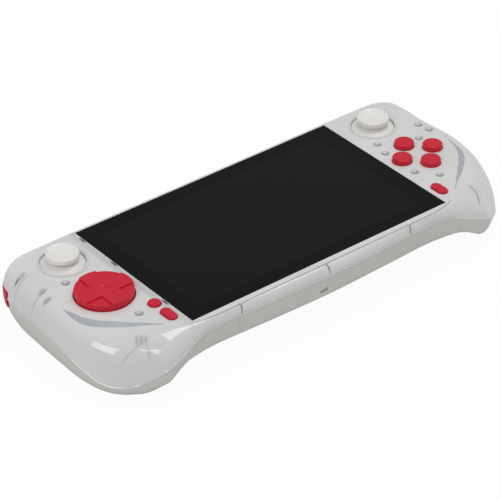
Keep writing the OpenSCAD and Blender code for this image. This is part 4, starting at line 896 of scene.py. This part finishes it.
button = bmesh.new()
add_rod(button, -SMALL_X, SMALL_Y, FLANGE_TOP, SMALL_TOP, SMALL_R)
crown(button, SMALL_TOP, SMALL_EDGE, SMALL_RISE)
add_rod(button, -SMALL_X, SMALL_Y, BUTTON_LOW, FLANGE_TOP, SMALL_R + SMALL_FLANGE)
make_piece("round_key", button, red_abs, "round_button", ["round_button"])
for name, side in (("left", -1), ("right", 1)):
    button = bmesh.new()
    add_stadium(button, side * SMALL_X, OVAL_Y, FLANGE_TOP, SMALL_TOP, OVAL_W, OVAL_L)
    crown(button, SMALL_TOP, SMALL_EDGE, SMALL_RISE)
    wide, long = OVAL_W + 2 * SMALL_FLANGE, OVAL_L + 2 * SMALL_FLANGE
    add_stadium(button, side * SMALL_X, OVAL_Y, BUTTON_LOW, FLANGE_TOP, wide, long)
    body = f"{name}_oval_button"
    make_piece(f"{name}_oval_key", button, red_abs, body, [body])
print("buttons:", len(face_spots) + 3)

# %% [markdown]
# ## Bumpers and triggers
# A bumper continues the skin of both shells round the corner, so its section is taken from the same skin
# formulas, a little proud of them. A trigger is a curved blade on a pin: one profile drawn from the side,
# extruded along its width, and rounded.

# %% Bumpers
BUMPER_PROUD = 0.25


def front_at_depth(t, depth):
    z0, z1 = curve_at(plateau_loop, t).z, rim_depth(t)
    c = 1 - (depth - z0) / (z1 - z0)
    return step_foot(t).lerp(rim_at(t), math.sqrt(max(0, 1 - c * c)))


def rear_at_depth(t, depth):
    z0, z1 = rim_depth(t), rear_depth(rear_edge(t))
    s = (depth - z0) / (z1 - z0)
    return rim_at(t) - rounding(t) * (1 - math.sqrt(max(0, 1 - s * s))) * outwards(t)


def bumper_section(t):
    """Closed section of a bumper: the back first, then the skin from the upper to the lower side."""
    middle, back = rim_depth(t), rim_at(t) - BUMPER_T * outwards(t)
    upper = [BUMPER_Z0 + (middle - BUMPER_Z0) * k / 5 for k in range(5)]
    lower = [middle + (BUMPER_Z1 - middle) * k / 6 for k in range(7)]
    skin = [(front_at_depth(t, d), d) for d in upper] + [(rear_at_depth(t, d), d) for d in lower]
    skin = [(p + BUMPER_PROUD * outwards(t), d) for p, d in skin]
    return [p.to_3d() - Vector((0, 0, d)) for p, d in [(back, BUMPER_Z0)] + skin + [(back, BUMPER_Z1)]]


def from_section(points):
    return lambda share: points[round(share * len(points)) % len(points)].copy()


steps = [BUMPER_FROM + (BUMPER_TO - BUMPER_FROM) * k / 40 for k in range(41)]
sections = [bumper_section(t) for t in steps]
for name, side in (("left", -1), ("right", 1)):
    bar = loft(bmesh.new(), len(sections[0]), [from_section(s) for s in sections])
    soften(bar, 0.35, 3, 50)
    add_rod(bar, PIN_X, PIN_Y, -BUMPER_Z1, -BUMPER_Z0, EAR_R)
    bmesh.ops.scale(bar, vec=(side, 1, 1), verts=bar.verts)
    body = f"{name}_bumper"
    make_piece(f"{name}_shoulder_bar", outward(bar), red_abs, body, [body])
print("bumpers from", len(sections), "sections")

# %% Triggers
blade_profile = [(-2.6, 20.6), (-2.7, 21.8), (-2.9, 23), (-3.2, 24.5), (-3.6, 26), (-4.1, 27.4), (-4.7, 28.6),
    (-5.5, 29.9), (-6.4, 31), (-7.4, 31.9), (-8.4, 32.6), (-9.4, 32.95), (-10.4, 33),
    (-11.6, 32), (-10.6, 30.6), (-9, 29), (-7.6, 26.8), (-6.7, 24), (-6.4, 20.6)]
TRIGGER_EAR_T, EAR_INSET = 3.0, 0.2
ear_profile = [(-13.2, 20.7), (-5, 20.6), (-6, 27.5), (-13.2, 26.3), (-15, 25.5), (-16, 23.5), (-15, 21.5)]


def add_side_prism(bm, outline, x0, x1):
    """A prism along X on an outline of (offset from the top edge, depth) points."""
    add_prism(bm, [(x0, TOP + y, -d) for y, d in outline], (x1 - x0, 0, 0))


for name, side in (("left", -1), ("right", 1)):
    blade = bmesh.new()
    add_side_prism(blade, blade_profile, TRIGGER_X0, TRIGGER_X1)
    soften(outward(blade), 0.8, 4, 60)
    for x in (TRIGGER_X0 + EAR_INSET, TRIGGER_X1 - TRIGGER_EAR_T - EAR_INSET):
        add_side_prism(blade, ear_profile, x, x + TRIGGER_EAR_T)
    bmesh.ops.scale(blade, vec=(side, 1, 1), verts=blade.verts)
    body = f"{name}_trigger"
    make_piece(f"{name}_trigger_blade", outward(blade), red_abs_painted_shade, body, [body])
print("triggers", TRIGGER_X1 - TRIGGER_X0, "mm wide")

# %% [markdown]
# ## Keys and screws
# The keys of the top edge are small bars with rounded edges. The shell screws sit in round sinks of the rear
# case, with a cross recess for the driver.

# %% Keys of the top edge
KEY_FLANGE_T = 0.9
for node, (x, width, behind) in keys.items():
    low, high = local_box(node)
    seat = TOP - behind
    key = bmesh.new()
    add_block(key, (x - width / 2, seat, -KEY_D - KEY_H / 2), (x + width / 2, high.y, -KEY_D + KEY_H / 2))
    soften(key, 0.5, 4)
    add_block(key, (low.x, seat - KEY_FLANGE_T, low.z), (high.x, seat, high.z))
    make_piece(f"{node}_bar", key, rear_abs, node, [node])
print("keys:", ", ".join(keys))

# %% Shell screws
RECESS_L, RECESS_W, RECESS_D = 2.6, 0.5, 0.7
HEAD_TAPER, SCREW_R, SCREW_L = 0.3, 1.0, 8
heads, slots = bmesh.new(), bmesh.new()
for side in (1, -1):
    for x, y in shell_screw_spots:
        face = -rear_depth(Vector((x, y)))
        add_rod(heads, side * x, y, face, face + SCREW_HEAD_H, SCREW_HEAD_R - HEAD_TAPER, SCREW_HEAD_R, 48)
        for long, wide in ((RECESS_L, RECESS_W), (RECESS_W, RECESS_L)):
            low = (side * x - long / 2, y - wide / 2, face - 1)
            add_block(slots, low, (side * x + long / 2, y + wide / 2, face + RECESS_D))
heads = carve(heads, slots)
for side in (1, -1):
    for x, y in shell_screw_spots:
        foot = SCREW_HEAD_H - rear_depth(Vector((x, y)))
        add_rod(heads, side * x, y, foot, foot + SCREW_L, SCREW_R, segments=32)
make_piece("case_screws", outward(heads), steel, "console", ["shell_screws"])
print("case screws:", 2 * len(shell_screw_spots))

# %% [markdown]
# ## Parts inside
# The boards, battery, springs and fasteners keep their CAD shape and get the finish of their slot.

# %% Finishes of the CAD parts
slot_finish = {"milky_plastic": milky, "grey_white_plastic": rear_abs, "white_plastic": white_abs,
    "red_plastic": red_abs, "black_glass": cover_glass, "panel_glass": cover_glass, "steel": steel,
    "aluminium": aluminium, "circuit_board": board, "battery_wrap": wrap, "black_plastic": black_abs,
    "rubber": rubber}
for part in frame["record"]["subparts"]:
    solid = frame["nodes"][part["node"]]
    solid.data.materials.clear()
    solid.data.materials.append(slot_finish[part["material_slot"]])

# %% [markdown]
# ## Studio
# A pale floor under wide, soft lamps. The floor gives back white to the camera and keeps some of its shading,
# so that the console still has a shadow. The sky is a plain grey.

# %% Floor
FLOOR_HALF, FLOOR_WHITE = 4.0, 0.95
floor_bm = bmesh.new()
bmesh.ops.create_grid(floor_bm, x_segments=1, y_segments=1, size=FLOOR_HALF)
floor_mesh = bpy.data.meshes.new("floor")
floor_bm.to_mesh(floor_mesh)
floor_bm.free()
floor = bpy.data.objects.new("floor", floor_mesh)
bpy.context.scene.collection.objects.link(floor)
pale, tree, shader, place = new_finish("pale_floor", Roughness=0.9)
shader.inputs["Base Color"].default_value = linear("F2F2F2")
path = add(tree, "LightPath")
share = add(tree, "Math", {0: path.outputs["Is Camera Ray"], 1: FLOOR_WHITE}, operation="MULTIPLY")
white = add(tree, "Emission", {"Color": (1, 1, 1, 1), "Strength": 1.0})
both = add(tree, "MixShader", {0: share.outputs["Value"], 1: shader.outputs["BSDF"],
    2: white.outputs["Emission"]})
tree.links.new(both.outputs["Shader"], tree.nodes["Material Output"].inputs["Surface"])
floor_mesh.materials.append(pale)
print("floor", 2 * FLOOR_HALF, "m wide")


# %% Lamps and sky
def soft_lamp(name, spot, size, power):
    """A square lamp that faces the console."""
    lamp_data = bpy.data.lights.new(name, "AREA")
    lamp_data.size, lamp_data.energy = size, power
    lamp = bpy.data.objects.new(name, lamp_data)
    lamp.location = spot
    lamp.rotation_euler = (-Vector(spot)).to_track_quat("-Z", "Y").to_euler()
    bpy.context.scene.collection.objects.link(lamp)


soft_lamp("overhead", (0.45, 0.05, 1.4), 0.7, 5.5)
soft_lamp("left_softbox", (-0.9, -0.23, 0.79), 0.38, 1.8)
SKY_GREY = 0.48
sky = bpy.data.worlds.new("sky")
bpy.context.scene.world = sky
sky.use_nodes = True
sky.node_tree.nodes["Background"].inputs["Color"].default_value = (SKY_GREY, SKY_GREY, SKY_GREY, 1)
bpy.context.scene.view_settings.view_transform = "Standard"
print("lamps:", ", ".join(lamp.name for lamp in bpy.data.lights))

# %% [markdown]
# ## Finish
# The new pieces are counted.

# %% Finish
print("new pieces:", len(made_pieces))
